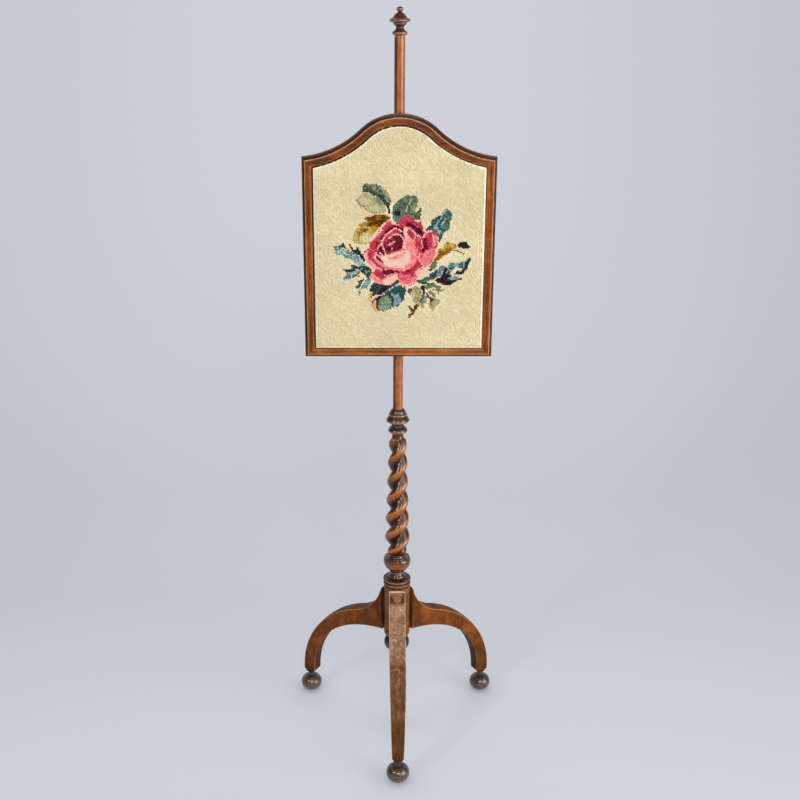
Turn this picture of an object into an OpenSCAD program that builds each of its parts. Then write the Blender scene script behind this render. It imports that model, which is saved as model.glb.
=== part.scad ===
// Victorian pole screen: a needlework panel in a shaped moulded frame that
// slides and turns on a pole above a barley-twist column and three sabre legs.

/* [Feet] */
// Radius of the circle through the feet
foot_circle_r = 226; // [200:1:250]
// Greatest radius of a bun foot
foot_r = 23.7; // [20:0.1:28]
// Height of a bun foot, floor to its neck
foot_h = 36.5; // [30:0.5:44]
// Radius of the flat that a foot stands on
foot_flat_r = 5.5; // [3:0.1:9]
// Radius of the neck on a foot
foot_neck_r = 6.8; // [6:0.1:8]
// Height of the neck on a foot
foot_neck_h = 9.5; // [6:0.5:14]
// Radius of the pin that holds a foot in its leg
foot_pin_r = 5; // [3.5:0.1:5.5]
// Length of the pin that holds a foot in its leg
foot_pin_len = 22; // [14:1:30]

/* [Legs] */
// Thickness of a leg at the block
leg_t = 34.5; // [28:0.5:36]
// Thickness of a leg at its lower end
leg_t_foot = 25; // [20:0.5:28]
// Height over which a leg thins down towards its foot
leg_taper_h = 140; // [90:5:160]
// Depth of the upright ankle
ankle_depth = 29; // [24:0.5:34]
// How far the ankle's middle lies inside the circle of the feet
ankle_in = 3; // [0:0.5:4]
// Height of the upright stretch at the ankle
ankle_straight = 14; // [13:0.5:30]
// Height of the four-sided taper at the leg's lower end
leg_cut_h = 11; // [6:0.5:12]
// Width of the leg's lower end after the taper
leg_end_w = 17; // [15:0.5:20]
// Radius of the leg's outer sweep
leg_sweep_r = 198; // [180:1:215]
// Difference between the outer sweep and the arch below it
leg_waist = 38; // [32:0.5:48]
// Squareness of the arch below the leg, 2 is an ellipse
leg_arch_power = 2.2; // [2:0.05:2.6]
// Radius of the hollow between the leg and the block
leg_fillet_r = 90; // [70:1:110]
// How far below the hollow's upright start the leg is cut level
leg_top_drop = 21; // [12:1:35]

/* [Dovetails] */
// Width of a tail where it leaves its leg
tail_root_w = 12; // [9:0.5:14]
// Width of a tail at its inner end
tail_end_w = 15; // [14.5:0.5:16]
// Length of a tail
tail_len = 8.5; // [6:0.5:9.5]
// How far a tail stops below the leg's top
tail_stop = 8; // [4:1:20]

/* [Leg block] */
// Radius of the block that the legs are dovetailed into
block_r = 28; // [26:0.5:32]
// How far the block reaches below the legs
block_below = 12; // [8:0.5:20]
// How far the block reaches above the legs
block_over = 8; // [5:0.5:14]
// Height of the bead above the block
block_bead_h = 8; // [6:0.5:12]
// How far the bead and the disc stand out from their groove
block_bead_out = 1.6; // [0.8:0.1:3]
// Height of the disc at the top of the block
block_disc_h = 12; // [8:0.5:16]
// How far the disc stands out from the block
block_disc_out = 0.8; // [0:0.1:3]
// Rise of the disc's dished top
block_dish_h = 3; // [1:0.5:5]
// Height of the rounded lower end of the block
block_round_h = 9; // [5:0.5:12]

/* [Pendant] */
// Greatest radius of the pendant drop
pendant_r = 27.5; // [22:0.5:32]
// Height of the pendant drop
pendant_h = 36; // [28:1:48]
// Radius of the pendant's pin
pendant_pin_r = 6; // [4:0.5:7]
// Length of the pendant's pin
pendant_pin_len = 26; // [16:1:34]
// Radius of the neck above the pendant
pendant_neck_r = 21; // [17:0.5:24]
// Height of the neck above the pendant
pendant_neck_h = 4; // [2:0.5:8]
// How far that neck draws in towards the pendant
pendant_throat = 2; // [0.5:0.1:4]

/* [Column] */
// Radius of the tenon that holds the column in the block
tenon_r = 9; // [7:0.5:10]
// Length of the tenon
tenon_len = 60; // [40:1:80]
// Radius of the neck below the ball
ball_neck_r = 13.2; // [11:0.1:16]
// Height of the neck below the ball
ball_neck_h = 9; // [6:0.5:12]
// How far the small bead on that neck stands out
neck_bead_out = 1.5; // [0.5:0.1:2.5]
// Radius of the ball's lower end
ball_seat_r = 16.2; // [14:0.1:20]
// Greatest radius of the ball
ball_r = 29; // [25:0.5:33]
// Height of the ball up to its rim
ball_h = 36; // [30:0.5:44]
// Height of the ball's widest point above its lower end
ball_belly_h = 25.5; // [20:0.5:28]
// How far the ball draws in from its belly to its rim
ball_rim_in = 1.5; // [0.5:0.1:4]
// Height of the turned hollow between the ball and the twist
twist_seat_h = 10.5; // [8:0.5:14]
// Radius where the twist stands on the column
twist_seat_r = 15.5; // [13:0.1:18]
// How far the fillet on the ball's top stands out from that seat
twist_fillet_out = 4; // [2:0.1:6]
// Height of the twist
twist_h = 261; // [200:1:300]
// Outer radius of the twist at its lower end
twist_r_low = 27.4; // [24:0.1:31]
// Outer radius of the twist at its upper end
twist_r_high = 18.4; // [16:0.1:22]
// Rise of one full turn of each of the two strands
twist_lead = 84; // [70:1:100]
// Radius of a strand as a share of the twist's radius
twist_strand = 0.64; // [0.58:0.01:0.7]
// Height over which the twist draws in at its lower end
twist_run_low = 34; // [20:1:45]
// Height over which the twist draws in at its upper end
twist_run_high = 14; // [8:1:25]

/* [Collar] */
// Radius of the necks in the collar
collar_neck_r = 12.2; // [11.5:0.1:14]
// Height of the neck above the twist
collar_neck_h = 8.5; // [5:0.5:12]
// Radius of the collar's lower ring
collar_ring_r = 19.8; // [17:0.1:23]
// Height of the collar's lower ring
collar_ring_h = 17; // [13:0.5:20]
// Radius of the collar's main ring
collar_main_r = 23.7; // [21:0.1:27]
// Height of the collar's main ring
collar_main_h = 19; // [15:0.5:23]
// Radius of the step above the main ring
collar_step_r = 19.5; // [17:0.1:21]
// Height of the step above the main ring
collar_step_h = 9; // [6:0.5:12]
// How far the step swells and overlaps the main ring
collar_step_out = 1; // [0.5:0.1:2]
// Wall of the cup at its rim
collar_rim = 2.4; // [1.5:0.1:3.5]
// Radius of the cup that the pole stands in
collar_cup_r = 14.3; // [13.5:0.1:17]
// Height of the cup that the pole stands in
collar_cup_h = 8.5; // [6:0.5:12]

/* [Pole] */
// Radius of the pole
pole_r = 10; // [9:0.1:11]
// Length of the pole above its shoulder
pole_len = 731; // [650:1:800]
// Radius of the pin below the pole's shoulder
pole_pin_r = 7; // [5.5:0.1:8]
// Length of the pin below the pole's shoulder
pole_pin_len = 42; // [30:1:45]

/* [Finial] */
// Radius of the finial's lower ring
finial_foot_r = 14.6; // [12.5:0.1:18]
// Height of the finial's lower ring
finial_foot_h = 7.2; // [5:0.1:10]
// Radius of the finial's waist
finial_waist_r = 7; // [5.5:0.1:9]
// Height from the lower ring to the main ring
finial_cup_h = 15; // [11:0.5:19]
// Radius of the finial's main ring
finial_ring_r = 19.8; // [16:0.1:24]
// Height of the finial's main ring
finial_ring_h = 8.2; // [6:0.1:11]
// Height of the cone above the main ring
finial_cone_h = 12.2; // [9:0.1:16]
// Height of the top ball
finial_ball_h = 8.4; // [7:0.1:11]
// Height of the waist above the lower ring
finial_waist_h = 6; // [4:0.1:8]
// Radius of the finial under and over its main ring
finial_rim_r = 13.4; // [11:0.1:16]
// Radius of the neck below the top ball
finial_neck_r = 3.7; // [3:0.1:4.5]
// Radius of the top ball
finial_ball_r = 6; // [5:0.1:8]
// Radius of the finial's pin
finial_pin_r = 4; // [3:0.1:5]
// Length of the finial's pin
finial_pin_len = 25; // [18:1:32]

/* [Screen frame] */
// Width of the screen
screen_w = 368; // [330:1:410]
// Height of the screen's straight sides
screen_side_h = 388.5; // [340:0.5:430]
// Height of the screen above the column's collar
screen_lift = 119.5; // [116.5:0.5:150]
// Radius of the crown on the top rail
crown_r = 108; // [95:1:125]
// Radius of the hollow shoulder on the top rail
shoulder_r = 188; // [170:1:220]
// How far the shoulder's centre lies outside the screen
shoulder_out = 18; // [8:1:30]
// Depth of the frame, front to back
frame_t = 18; // [16.5:0.5:24]
// Width of a stile's face
stile_w = 19.5; // [16:0.5:24]
// Width of the top rail's face
top_rail_w = 21.5; // [18:0.5:26]
// Width of the bottom rail's face
bottom_rail_w = 17; // [14.5:0.5:22]
// Width of the dark lip round the outside of the frame
lip_w = 3; // [2:0.1:4]
// How far the lip lies behind the face
lip_set = 5; // [3:0.1:6]
// Width of the hollow between the lip and the face
cove_w = 2; // [1:0.1:3]
// Width of the bevel at the sight edge
bevel_w = 2; // [1:0.1:3]
// Depth of the bevel at the sight edge
bevel_d = 2; // [1:0.1:3]
// Width of the ledge that carries the panel
ledge_w = 14; // [12:0.5:16]
// Thickness of the ledge that carries the panel
ledge_t = 5; // [4:0.1:6]
// Room between the frame's back and the pole
frame_gap = 5; // [4.8:0.1:8]
// Width of the rounding along the face's edges
arris_w = 0.6; // [0.2:0.1:1]
// How far the face falls towards the panel
face_fall = 0.3; // [0:0.1:0.8]
// Radius of the pegs through the frame's corners
peg_r = 2.5; // [1.5:0.1:3]
// Length of the pegs through the frame's corners
peg_len = 40; // [32:1:60]
// Height of the upper pegs as a share of the upper mitre's rise
peg_share = 0.6; // [0.5:0.05:0.7]

/* [Needlework panel] */
// Thickness of the backboard
backboard_t = 3; // [2:0.1:4]
// Thickness of the canvas with its stitches
canvas_t = 1.8; // [1:0.1:2.4]
// Room round the canvas inside the frame
canvas_room = 1.2; // [1:0.1:2]
// How far the canvas lies behind the frame's face
canvas_set = 1; // [0.5:0.1:2]
// Width of the strainer's bars
bar_w = 26; // [22:1:34]
// Radius of a tack's head
tack_head_r = 2.4; // [1.8:0.1:3]
// Thickness of a tack's head
tack_head_t = 0.6; // [0.4:0.1:0.8]
// Radius of a tack's shank
tack_r = 0.7; // [0.5:0.1:0.9]
// Length of a tack's shank
tack_len = 9; // [6:0.5:12]
// Number of tacks on each side
tacks_side = 7; // [4:1:10]
// Number of tacks on the lower edge
tacks_low = 6; // [3:1:8]
// Number of tacks round the crown
tacks_crown = 5; // [3:1:7]
// How deep the panel's screws bite into the strainer
panel_bite = 5; // [3:0.5:5.5]
// Place of a side's screws, from each end, as a share of the side's height
side_screws = 0.25; // [0.2:0.01:0.3]
// Place of the lower screws as a share of the half width
low_screws = 0.5; // [0.3:0.05:0.7]
// Place of the crown's screws as a share of the crown's turn
crown_screws = 0.85; // [0.7:0.01:0.9]
// Share of the crown's turn over which its tacks are spread
tack_spread = 0.9; // [0.7:0.05:1]

/* [Brackets] */
// Width of a bracket's plate
plate_w = 54; // [46:1:70]
// Height of a bracket's plate
plate_h = 20; // [18:0.5:22]
// Thickness of a bracket's plate
plate_t = 2; // [1.5:0.1:3]
// Height of a bracket's ring
ring_h = 15; // [12:0.5:16]
// Radius of the bush that slides on the pole
bush_r = 11.6; // [11.2:0.1:12.4]
// Radius of the flange on the bush
flange_r = 14; // [13:0.1:14.4]
// Thickness of the flange on the bush
flange_t = 2; // [1.5:0.1:3]
// How far the lower plate lies above the frame's lower edge
plate_up = 4; // [3.5:0.5:8]
// How far the upper plate lies below the crown
plate_down = 8; // [5:0.5:14]
// Radius of the thumbscrew's shank
thumb_r = 3; // [2:0.1:4]
// Radius of the boss that the thumbscrew turns in
thumb_boss_r = 6; // [5:0.1:7]
// How far the boss stands out from the pole's middle
thumb_boss_out = 22; // [19:0.5:28]
// Radius of the thumbscrew's knob
thumb_knob_r = 9; // [7:0.1:12]
// Thickness of the thumbscrew's knob
thumb_knob_t = 7; // [5:0.5:10]
// Number of flutes round the thumbscrew's knob
thumb_flutes = 12; // [8:1:14]
// Radius of a flute on the thumbscrew's knob
thumb_flute_r = 1.4; // [1:0.1:1.6]
// How far a flute's middle lies outside the knob
thumb_flute_out = 0.6; // [0.3:0.1:0.9]
// Length of the neck between the boss and the knob
thumb_neck = 2; // [1:0.5:5]
// Radius of a screw's shank
screw_r = 1.5; // [1:0.1:1.8]
// Radius of a screw's head
screw_head_r = 3; // [2.5:0.1:3.6]
// Distance from the pole's middle to a bracket's screws
screw_x = 20; // [19:0.5:24]
// Length of a bracket's screw
screw_len = 10; // [7:0.5:11]

/* [Fits] */
// Radial room of a turning or sliding fit
run_fit = 0.05; // [0.02:0.01:0.1]
// Room in a glued joint
glue_fit = 0.05; // [0.02:0.01:0.1]
// Gap below a part that rests but can move
seat_gap = 0.3; // [0.2:0.05:0.4]
// Gap between the upper ring and the pole
guide_gap = 0.3; // [0.3:0.05:0.5]

/* [Hidden] */
$fn = 64;
eps = 0.01;
far = 1000;
// How far cutters run past the faces that they cut
past = 1;
// How far the twist's ends sink into the turned ends, and the lip round them
twist_sink = 1;
twist_lip = 0.8;

// The feet's box is centred on the origin, so the pole stands behind it
pole_y = foot_circle_r / 4;
leg_angles = [270, 150, 30];

// Heights of the stand, from the floor up
leg_end_z = foot_h + foot_neck_h;
leg_cut_z = leg_end_z + leg_cut_h;
ankle_z = leg_end_z + ankle_straight;
under_z = ankle_z + leg_sweep_r - leg_waist;
ankle_out = foot_circle_r - ankle_in + ankle_depth / 2;
ankle_inner = ankle_out - ankle_depth;
sweep_s = ankle_out - leg_sweep_r;
fillet_s = block_r + leg_fillet_r;
fillet_rise = sqrt(pow(leg_sweep_r + leg_fillet_r, 2) - pow(fillet_s - sweep_s, 2));
fillet_z = ankle_z + fillet_rise;
leg_top_z = fillet_z - leg_top_drop;
flat_s = sqrt(pow(block_r, 2) - pow(leg_t / 2, 2));
block_low_z = under_z - block_below;
bead_z = leg_top_z + block_over;
disc_z = bead_z + block_bead_h;
disc_top_z = disc_z + block_disc_h;
block_top_z = disc_top_z + block_dish_h;
ball_z = block_top_z + ball_neck_h;
ball_top_z = ball_z + ball_h;
twist_z = ball_top_z + twist_seat_h;
twist_top_z = twist_z + twist_h;
ring_z = twist_top_z + collar_neck_h;
main_z = ring_z + collar_ring_h;
step_z = main_z + collar_main_h;
cup_z = step_z + collar_step_h;
collar_top_z = cup_z + collar_cup_h;
pole_top_z = cup_z + pole_len;
finial_z = pole_top_z + seat_gap;

// The screen, seen from the front: x across, z up, y from the face to the back
screen_z = collar_top_z + screen_lift;
half_w = screen_w / 2;
corner_z = screen_z + screen_side_h;
shoulder_x = half_w + shoulder_out;
turn_angle = asin(shoulder_x / (crown_r + shoulder_r));
shoulder_z = corner_z + sqrt(pow(shoulder_r, 2) - pow(shoulder_out, 2));
crown_z = shoulder_z - (crown_r + shoulder_r) * cos(turn_angle);
crown_top_z = crown_z + crown_r;
back_y = -pole_r - frame_gap;
face_y = back_y - frame_t;
board_y = back_y - ledge_t;
bars_y = board_y - backboard_t;
canvas_y = face_y + canvas_set;
bar_t = bars_y - canvas_y - canvas_t;
sight_x = half_w - stile_w;
sight_z = screen_z + bottom_rail_w;
mitre_drop = sqrt(pow(shoulder_r + top_rail_w, 2) - pow(shoulder_out + stile_w, 2));
mitre_top = [sight_x, shoulder_z - mitre_drop];
mitre_low = [sight_x, sight_z];
high_peg_z = mitre_top[1] + (corner_z - mitre_top[1]) * peg_share;
low_peg_z = screen_z + bottom_rail_w / 2;

// The strainer inside the canvas, with its bars halved at the corners
bar_x = sight_x - canvas_room - canvas_t - bar_w;
bar_low_z = sight_z + canvas_room + canvas_t + bar_w;
bar_high_z = mitre_top[1] - bar_w;
lap_y = bars_y - bar_t / 2;
panel_screw_len = ledge_t + backboard_t + panel_bite;

// The brackets and what turns in them
low_plate_z = screen_z + plate_up;
high_plate_z = crown_top_z - plate_down - plate_h;
ring_r = pole_r + frame_gap;
low_ring_z = low_plate_z + (plate_h - ring_h) / 2 + flange_t;
thumb_z = low_ring_z + ring_h / 2;
knob_y = thumb_boss_out + thumb_neck;

// A half-round bead that starts and ends at radius r0, as points of a turned profile
function bead(r0, r1, z0, h, steps = 10) =
    [for (i = [0 : steps]) [r0 + (r1 - r0) * sin(180 * i / steps), z0 + h * (1 - cos(180 * i / steps)) / 2]];

// A hollow that leaves radius r0 level and reaches radius r1 upright
function hollow(r0, r1, z0, h, steps = 6) =
    [for (i = [0 : steps]) [r0 + (r1 - r0) * sin(90 * i / steps), z0 + h * (1 - cos(90 * i / steps))]];

// A smooth change of radius from r0 to r1
function sway(r0, r1, z0, h, steps = 8) =
    [for (i = [0 : steps]) [r0 + (r1 - r0) * (1 - cos(180 * i / steps)) / 2, z0 + h * i / steps]];

// An oval swell of radius r, between the radii r0 below and r1 above it
function swell(r, r0, r1, z0, h, steps = 16) =
    let (a0 = -acos(r0 / r), a1 = acos(r1 / r), b = h / (sin(a1) - sin(a0)))
    [for (i = [0 : steps]) let (a = a0 + (a1 - a0) * i / steps) [r * cos(a), z0 + b * (sin(a) - sin(a0))]];

// Points on an arc
function arc(c, r, a0, a1, steps) =
    [for (i = [0 : steps]) let (a = a0 + (a1 - a0) * i / steps) c + r * [cos(a), sin(a)]];

// A list of points without its first one
function rest_of(points) = [for (i = [1 : len(points) - 1]) points[i]];

// A solid turned from a profile of [radius, height] points
module turned(profile, z0, z1) {
    rotate_extrude() polygon(concat([[0, z0]], profile, [[0, z1]]));
}

// Moves a leg from its own plane, which runs out along X, to its place
module at_leg(i) {
    translate([0, pole_y, 0]) rotate([0, 0, leg_angles[i]]) children();
}

// Side of a leg, s outwards from the pole and z up
function leg_side() =
    let (join = atan2(ankle_z - fillet_z, sweep_s - fillet_s) + 360, half = leg_end_w / 2)
    concat(
        [[flat_s, leg_top_z]],
        arc([fillet_s, fillet_z], leg_fillet_r, 180 + asin(leg_top_drop / leg_fillet_r), join, 10),
        rest_of(arc([sweep_s, ankle_z], leg_sweep_r, join - 180, 0, 20)),
        [[ankle_out, leg_cut_z], [foot_circle_r + half, leg_end_z]],
        [[foot_circle_r - half, leg_end_z], [ankle_inner, leg_cut_z]],
        leg_arch(block_r + eps, 20),
        [[flat_s, under_z]]
    );

// The arch below a leg, from the ankle in to the block
function leg_arch(s0, steps) =
    [for (i = [0 : steps]) let (t = 90 - 90 * i / steps) [
        s0 + (ankle_inner - s0) * pow(sin(t), 2 / leg_arch_power),
        ankle_z + (under_z - ankle_z) * pow(cos(t), 2 / leg_arch_power)
    ]];

// Front of a leg, which thins towards its foot
function leg_front_outline() =
    let (a = leg_t / 2, b = leg_t_foot / 2, c = leg_end_w / 2, taper_z = leg_cut_z + leg_taper_h)
    [[-a, leg_top_z], [-a, taper_z], [-b, leg_cut_z], [-c, leg_end_z],
        [c, leg_end_z], [b, leg_cut_z], [a, taper_z], [a, leg_top_z]];

// A dovetail, from inside the leg to the tail's inner end
module tail(room, z0, z1) {
    root = tail_root_w / 2 + room;
    tip = tail_end_w / 2 + room;
    inner = flat_s - tail_len - room;
    translate([0, 0, z0]) linear_extrude(z1 - z0)
        polygon([[flat_s + past, -root], [flat_s, -root], [inner, -tip],
            [inner, tip], [flat_s, root], [flat_s + past, root]]);
}

module leg(i) {
    color("saddlebrown") at_leg(i) difference() {
        union() {
            intersection() {
                rotate([90, 0, 0]) linear_extrude(leg_t, center = true) polygon(leg_side());
                rotate([90, 0, 90]) linear_extrude(far) polygon(leg_front_outline());
            }
            tail(0, under_z, leg_top_z - tail_stop);
        }
        translate([foot_circle_r, 0, leg_end_z - past])
            cylinder(h = foot_pin_len + 2 * past, r = foot_pin_r + glue_fit);
    }
}

module foot(i) {
    bun = swell(foot_r, foot_flat_r, foot_neck_r, 0, foot_h);
    neck = [[foot_neck_r, leg_end_z], [foot_pin_r, leg_end_z], [foot_pin_r, leg_end_z + foot_pin_len]];
    color([0.22, 0.10, 0.06]) at_leg(i) translate([foot_circle_r, 0, 0])
        turned(concat(bun, neck), 0, leg_end_z + foot_pin_len);
}

module leg_block() {
    disc_r = block_r + block_disc_out;
    groove_r = disc_r - block_bead_out;
    low = [for (i = [0 : 6]) [pendant_neck_r + (block_r - pendant_neck_r) * sin(15 * i),
        block_low_z + block_round_h * (1 - cos(15 * i))]];
    beads = concat(bead(groove_r, disc_r, bead_z, block_bead_h),
        rest_of(bead(groove_r, disc_r, disc_z, block_disc_h)));
    profile = concat(low, [[block_r, bead_z - past]], beads, [[ball_seat_r, block_top_z]]);
    color("saddlebrown") difference() {
        translate([0, pole_y, 0]) turned(profile, block_low_z, block_top_z);
        for (i = [0 : 2]) at_leg(i) {
            tail(glue_fit, block_low_z - past, leg_top_z - tail_stop + glue_fit);
            translate([flat_s, -leg_t / 2 - glue_fit, block_low_z - past])
                cube([far, leg_t + 2 * glue_fit, leg_top_z - block_low_z + past + glue_fit]);
        }
        translate([0, pole_y, block_top_z - tenon_len - past])
            cylinder(h = tenon_len + 2 * past, r = tenon_r + glue_fit);
        translate([0, pole_y, block_low_z - past])
            cylinder(h = pendant_pin_len + 2 * past, r = pendant_pin_r + glue_fit);
    }
}

module pendant_drop() {
    low_z = block_low_z - pendant_neck_h - pendant_h;
    throat_r = pendant_neck_r - pendant_throat;
    bun = swell(pendant_r, eps, throat_r, low_z, pendant_h);
    neck = [[pendant_neck_r, block_low_z]];
    pin = [[pendant_pin_r, block_low_z], [pendant_pin_r, block_low_z + pendant_pin_len]];
    color([0.25, 0.12, 0.07]) translate([0, pole_y, 0])
        turned(concat(bun, neck, pin), low_z, block_low_z + pendant_pin_len);
}

// Outer radius of the twist at a height above its foot, drawn in at both ends
function twist_radius(z) =
    let (full = twist_r_low + (twist_r_high - twist_r_low) * z / twist_h,
        low = max(0, 1 - z / twist_run_low), high = max(0, 1 - (twist_h - z) / twist_run_high),
        low_drop = twist_r_low - twist_seat_r, high_drop = twist_r_high - collar_neck_r)
    full - low_drop * (1 - sqrt(1 - low * low)) - high_drop * (1 - sqrt(1 - high * high));

// Radius of the two-stranded section at an angle from a strand's middle
function strand_radius(a) =
    let (d = 1 - twist_strand)
    d * abs(cos(a)) + sqrt(twist_strand * twist_strand - pow(d * sin(a), 2));

// The twist as one closed mesh, strands rising to the right
module twist() {
    sides = 32;
    rings = 72;
    points = [for (i = [0 : rings]) let (z = twist_h * i / rings, turn = 360 * z / twist_lead)
        for (j = [0 : sides - 1]) let (a = 360 * j / sides, r = twist_radius(z) * strand_radius(a))
            [r * cos(a + turn), r * sin(a + turn), twist_z + z]];
    walls = [for (i = [0 : rings - 1], j = [0 : sides - 1])
        let (k = (j + 1) % sides, a = i * sides + j, b = i * sides + k)
            each [[a, a + sides, b], [b, a + sides, b + sides]]];
    foot = [[for (j = [0 : sides - 1]) j]];
    head = [[for (j = [sides - 1 : -1 : 0]) rings * sides + j]];
    polyhedron(points, concat(walls, foot, head));
}

// Turned lower end of the column: tenon, neck, ball and the fillet on its top
module column_foot() {
    bead_h = ball_neck_h / 3;
    fillet_h = twist_seat_h / 4;
    fillet_r = twist_seat_r + twist_fillet_out;
    rise = ball_h - ball_belly_h;
    fall_h = twist_seat_h - fillet_h - twist_sink;
    pin = [[tenon_r, block_top_z - tenon_len], [tenon_r, block_top_z]];
    neck = concat(bead(ball_neck_r, ball_neck_r + neck_bead_out, block_top_z, bead_h, 4),
        rest_of(sway(ball_neck_r, ball_seat_r, block_top_z + bead_h, ball_neck_h - bead_h, 4)));
    belly = [for (i = [1 : 12]) let (a = 90 * i / 12)
        [ball_seat_r + (ball_r - ball_seat_r) * sin(a), ball_z + ball_belly_h * (1 - cos(a))]];
    shoulder = [for (i = [1 : 4]) let (t = i / 4)
        [ball_r - ball_rim_in * t * t, ball_z + ball_belly_h + rise * t]];
    top = concat([[fillet_r, ball_top_z + fillet_h / 2], [fillet_r, ball_top_z + fillet_h]],
        hollow(fillet_r - twist_lip, twist_seat_r, ball_top_z + fillet_h, fall_h));
    end = [[twist_seat_r + twist_lip, twist_z], [twist_seat_r + twist_lip, twist_z + twist_sink]];
    turned(concat(pin, neck, belly, shoulder, top, end), block_top_z - tenon_len, twist_z + twist_sink);
}

// Turned upper end of the column: two rings, a step and the cup
module column_collar() {
    low_z = twist_top_z - twist_sink;
    waist_r = collar_neck_r + twist_lip;
    main_h = collar_main_h - collar_step_out;
    rings = concat([[waist_r, low_z], [waist_r, twist_top_z]],
        bead(collar_neck_r, collar_ring_r, ring_z, collar_ring_h),
        rest_of(bead(collar_neck_r, collar_main_r, main_z, main_h)));
    over = [for (p = rings) if (p[1] < main_z + main_h / 2 || p[0] > collar_step_r) p];
    step = bead(collar_step_r, collar_step_r + collar_step_out, step_z - collar_step_out, collar_step_h, 6);
    cup = sway(collar_cup_r, pole_r + collar_rim, cup_z, collar_cup_h, 6);
    difference() {
        turned(concat(over, step, cup), low_z, collar_top_z);
        translate([0, 0, cup_z]) cylinder(h = collar_cup_h + past, r = pole_r + glue_fit);
        translate([0, 0, cup_z - pole_pin_len - past])
            cylinder(h = pole_pin_len + 2 * past, r = pole_pin_r + glue_fit);
    }
}

module twist_column() {
    color("sienna") translate([0, pole_y, 0]) union() {
        column_foot();
        twist();
        column_collar();
    }
}

module pole() {
    color("chocolate") translate([0, pole_y, 0]) difference() {
        union() {
            translate([0, 0, cup_z]) cylinder(h = pole_len, r = pole_r);
            translate([0, 0, cup_z - pole_pin_len]) cylinder(h = pole_pin_len, r = pole_pin_r);
        }
        translate([0, 0, pole_top_z - finial_pin_len - past])
            cylinder(h = finial_pin_len + 2 * past, r = finial_pin_r + run_fit);
    }
}

module finial() {
    cup_low = finial_z + finial_foot_h;
    waist_z = cup_low + finial_waist_h;
    ring_low = cup_low + finial_cup_h;
    cone_low = ring_low + finial_ring_h;
    ball_low = cone_low + finial_cone_h;
    top_z = ball_low + finial_ball_h;
    foot_low_r = pole_r + collar_rim;
    pin = [[finial_pin_r, finial_z - finial_pin_len], [finial_pin_r, finial_z]];
    foot = bead(foot_low_r, finial_foot_r, finial_z, finial_foot_h);
    cup = concat(rest_of(sway(foot_low_r, finial_waist_r, cup_low, finial_waist_h)),
        rest_of(sway(finial_waist_r, finial_rim_r, waist_z, ring_low - waist_z)));
    ring = rest_of(bead(finial_rim_r, finial_ring_r, ring_low, finial_ring_h));
    cone = rest_of(sway(finial_rim_r, finial_neck_r, cone_low, finial_cone_h));
    ball = rest_of(swell(finial_ball_r, finial_neck_r, eps, ball_low, finial_ball_h));
    color("saddlebrown") translate([0, pole_y, 0])
        turned(concat(pin, foot, cup, ring, cone, ball), finial_z - finial_pin_len, top_z);
}

// Outline of the shaped panel, set in from the frame's outer edge
function panel_outline(side, top, low) =
    let (x = half_w - side,
        end = 270 - asin((shoulder_out + side) / (shoulder_r + top)),
        right = arc([shoulder_x, shoulder_z], shoulder_r + top, end, 270 - turn_angle, 14),
        crown = arc([0, crown_z], crown_r - top, 90 - turn_angle, 90 + turn_angle, 24),
        inner = [for (i = [1 : len(crown) - 2]) crown[i]],
        left = [for (i = [len(right) - 1 : -1 : 0]) [-right[i][0], right[i][1]]])
    concat([[-x, screen_z + low], [x, screen_z + low]], right, inner, left);

// The panel's outline as a board between two depths
module panel_board(side, top, low, y0, y1) {
    translate([0, y1, 0]) rotate([90, 0, 0]) linear_extrude(y1 - y0) polygon(panel_outline(side, top, low));
}

// The canvas fills the frame's opening with a little room all round
module canvas_zone(skin, y0, y1) {
    inset = canvas_room + skin;
    panel_board(stile_w + inset, top_rail_w + inset, bottom_rail_w + inset, y0, y1);
}

// Section of the frame: u inwards from the outer edge, v back from the face
function frame_section(w) =
    let (k = w / stile_w, lip = lip_w * k, face = lip + cove_w * k, arris = arris_w * k,
        dip = lip_set - 2 * arris_w)
    concat(
        [[0, frame_t], [0, lip_set]],
        [for (i = [0 : 5]) [lip + cove_w * k * sin(18 * i), lip_set - dip * (1 - cos(18 * i))]],
        [[face, arris_w], [face + arris, 0], [w - bevel_w * k, face_fall], [w, face_fall + bevel_d]],
        [[w, frame_t - ledge_t], [w + ledge_w, frame_t - ledge_t], [w + ledge_w, frame_t]]
    );

// What lies on the stile's side of the upper and lower mitres, on the right
module stile_zone() {
    up = [half_w, corner_z] - mitre_top;
    down = [half_w, screen_z] - mitre_low;
    rotate([90, 0, 0]) linear_extrude(far, center = true)
        polygon([mitre_top - up, mitre_top + 3 * up, mitre_low + 3 * down, mitre_low - down]);
}

module both_sides() {
    children();
    mirror([1, 0, 0]) children();
}

// Holes and pegs across the corners of the frame
module corner_pegs(room) {
    run_out = room > 0 ? past : 0;
    for (z = [low_peg_z, high_peg_z])
        both_sides() translate([half_w - peg_len, back_y - frame_t / 2, z]) rotate([0, 90, 0])
            cylinder(h = peg_len + run_out, r = peg_r + room);
}

// Places of the screws that hold the panel on its ledge, seen from behind
function ledge_screws() =
    let (x = sight_x - ledge_w / 2, r = crown_r - top_rail_w - ledge_w / 2, a = turn_angle * crown_screws)
    [for (sx = [-1, 1]) each [
        [sx * x, screen_z + screen_side_h * side_screws],
        [sx * x, corner_z - screen_side_h * side_screws],
        [sx * half_w * low_screws, sight_z + ledge_w / 2],
        [sx * r * sin(a), crown_z + r * cos(a)]
    ]];

// Places of the brackets' screws
function bracket_screw_places() =
    [for (z = [low_plate_z, high_plate_z], sx = [-1, 1]) [sx * screw_x, z + plate_h / 2]];

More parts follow.
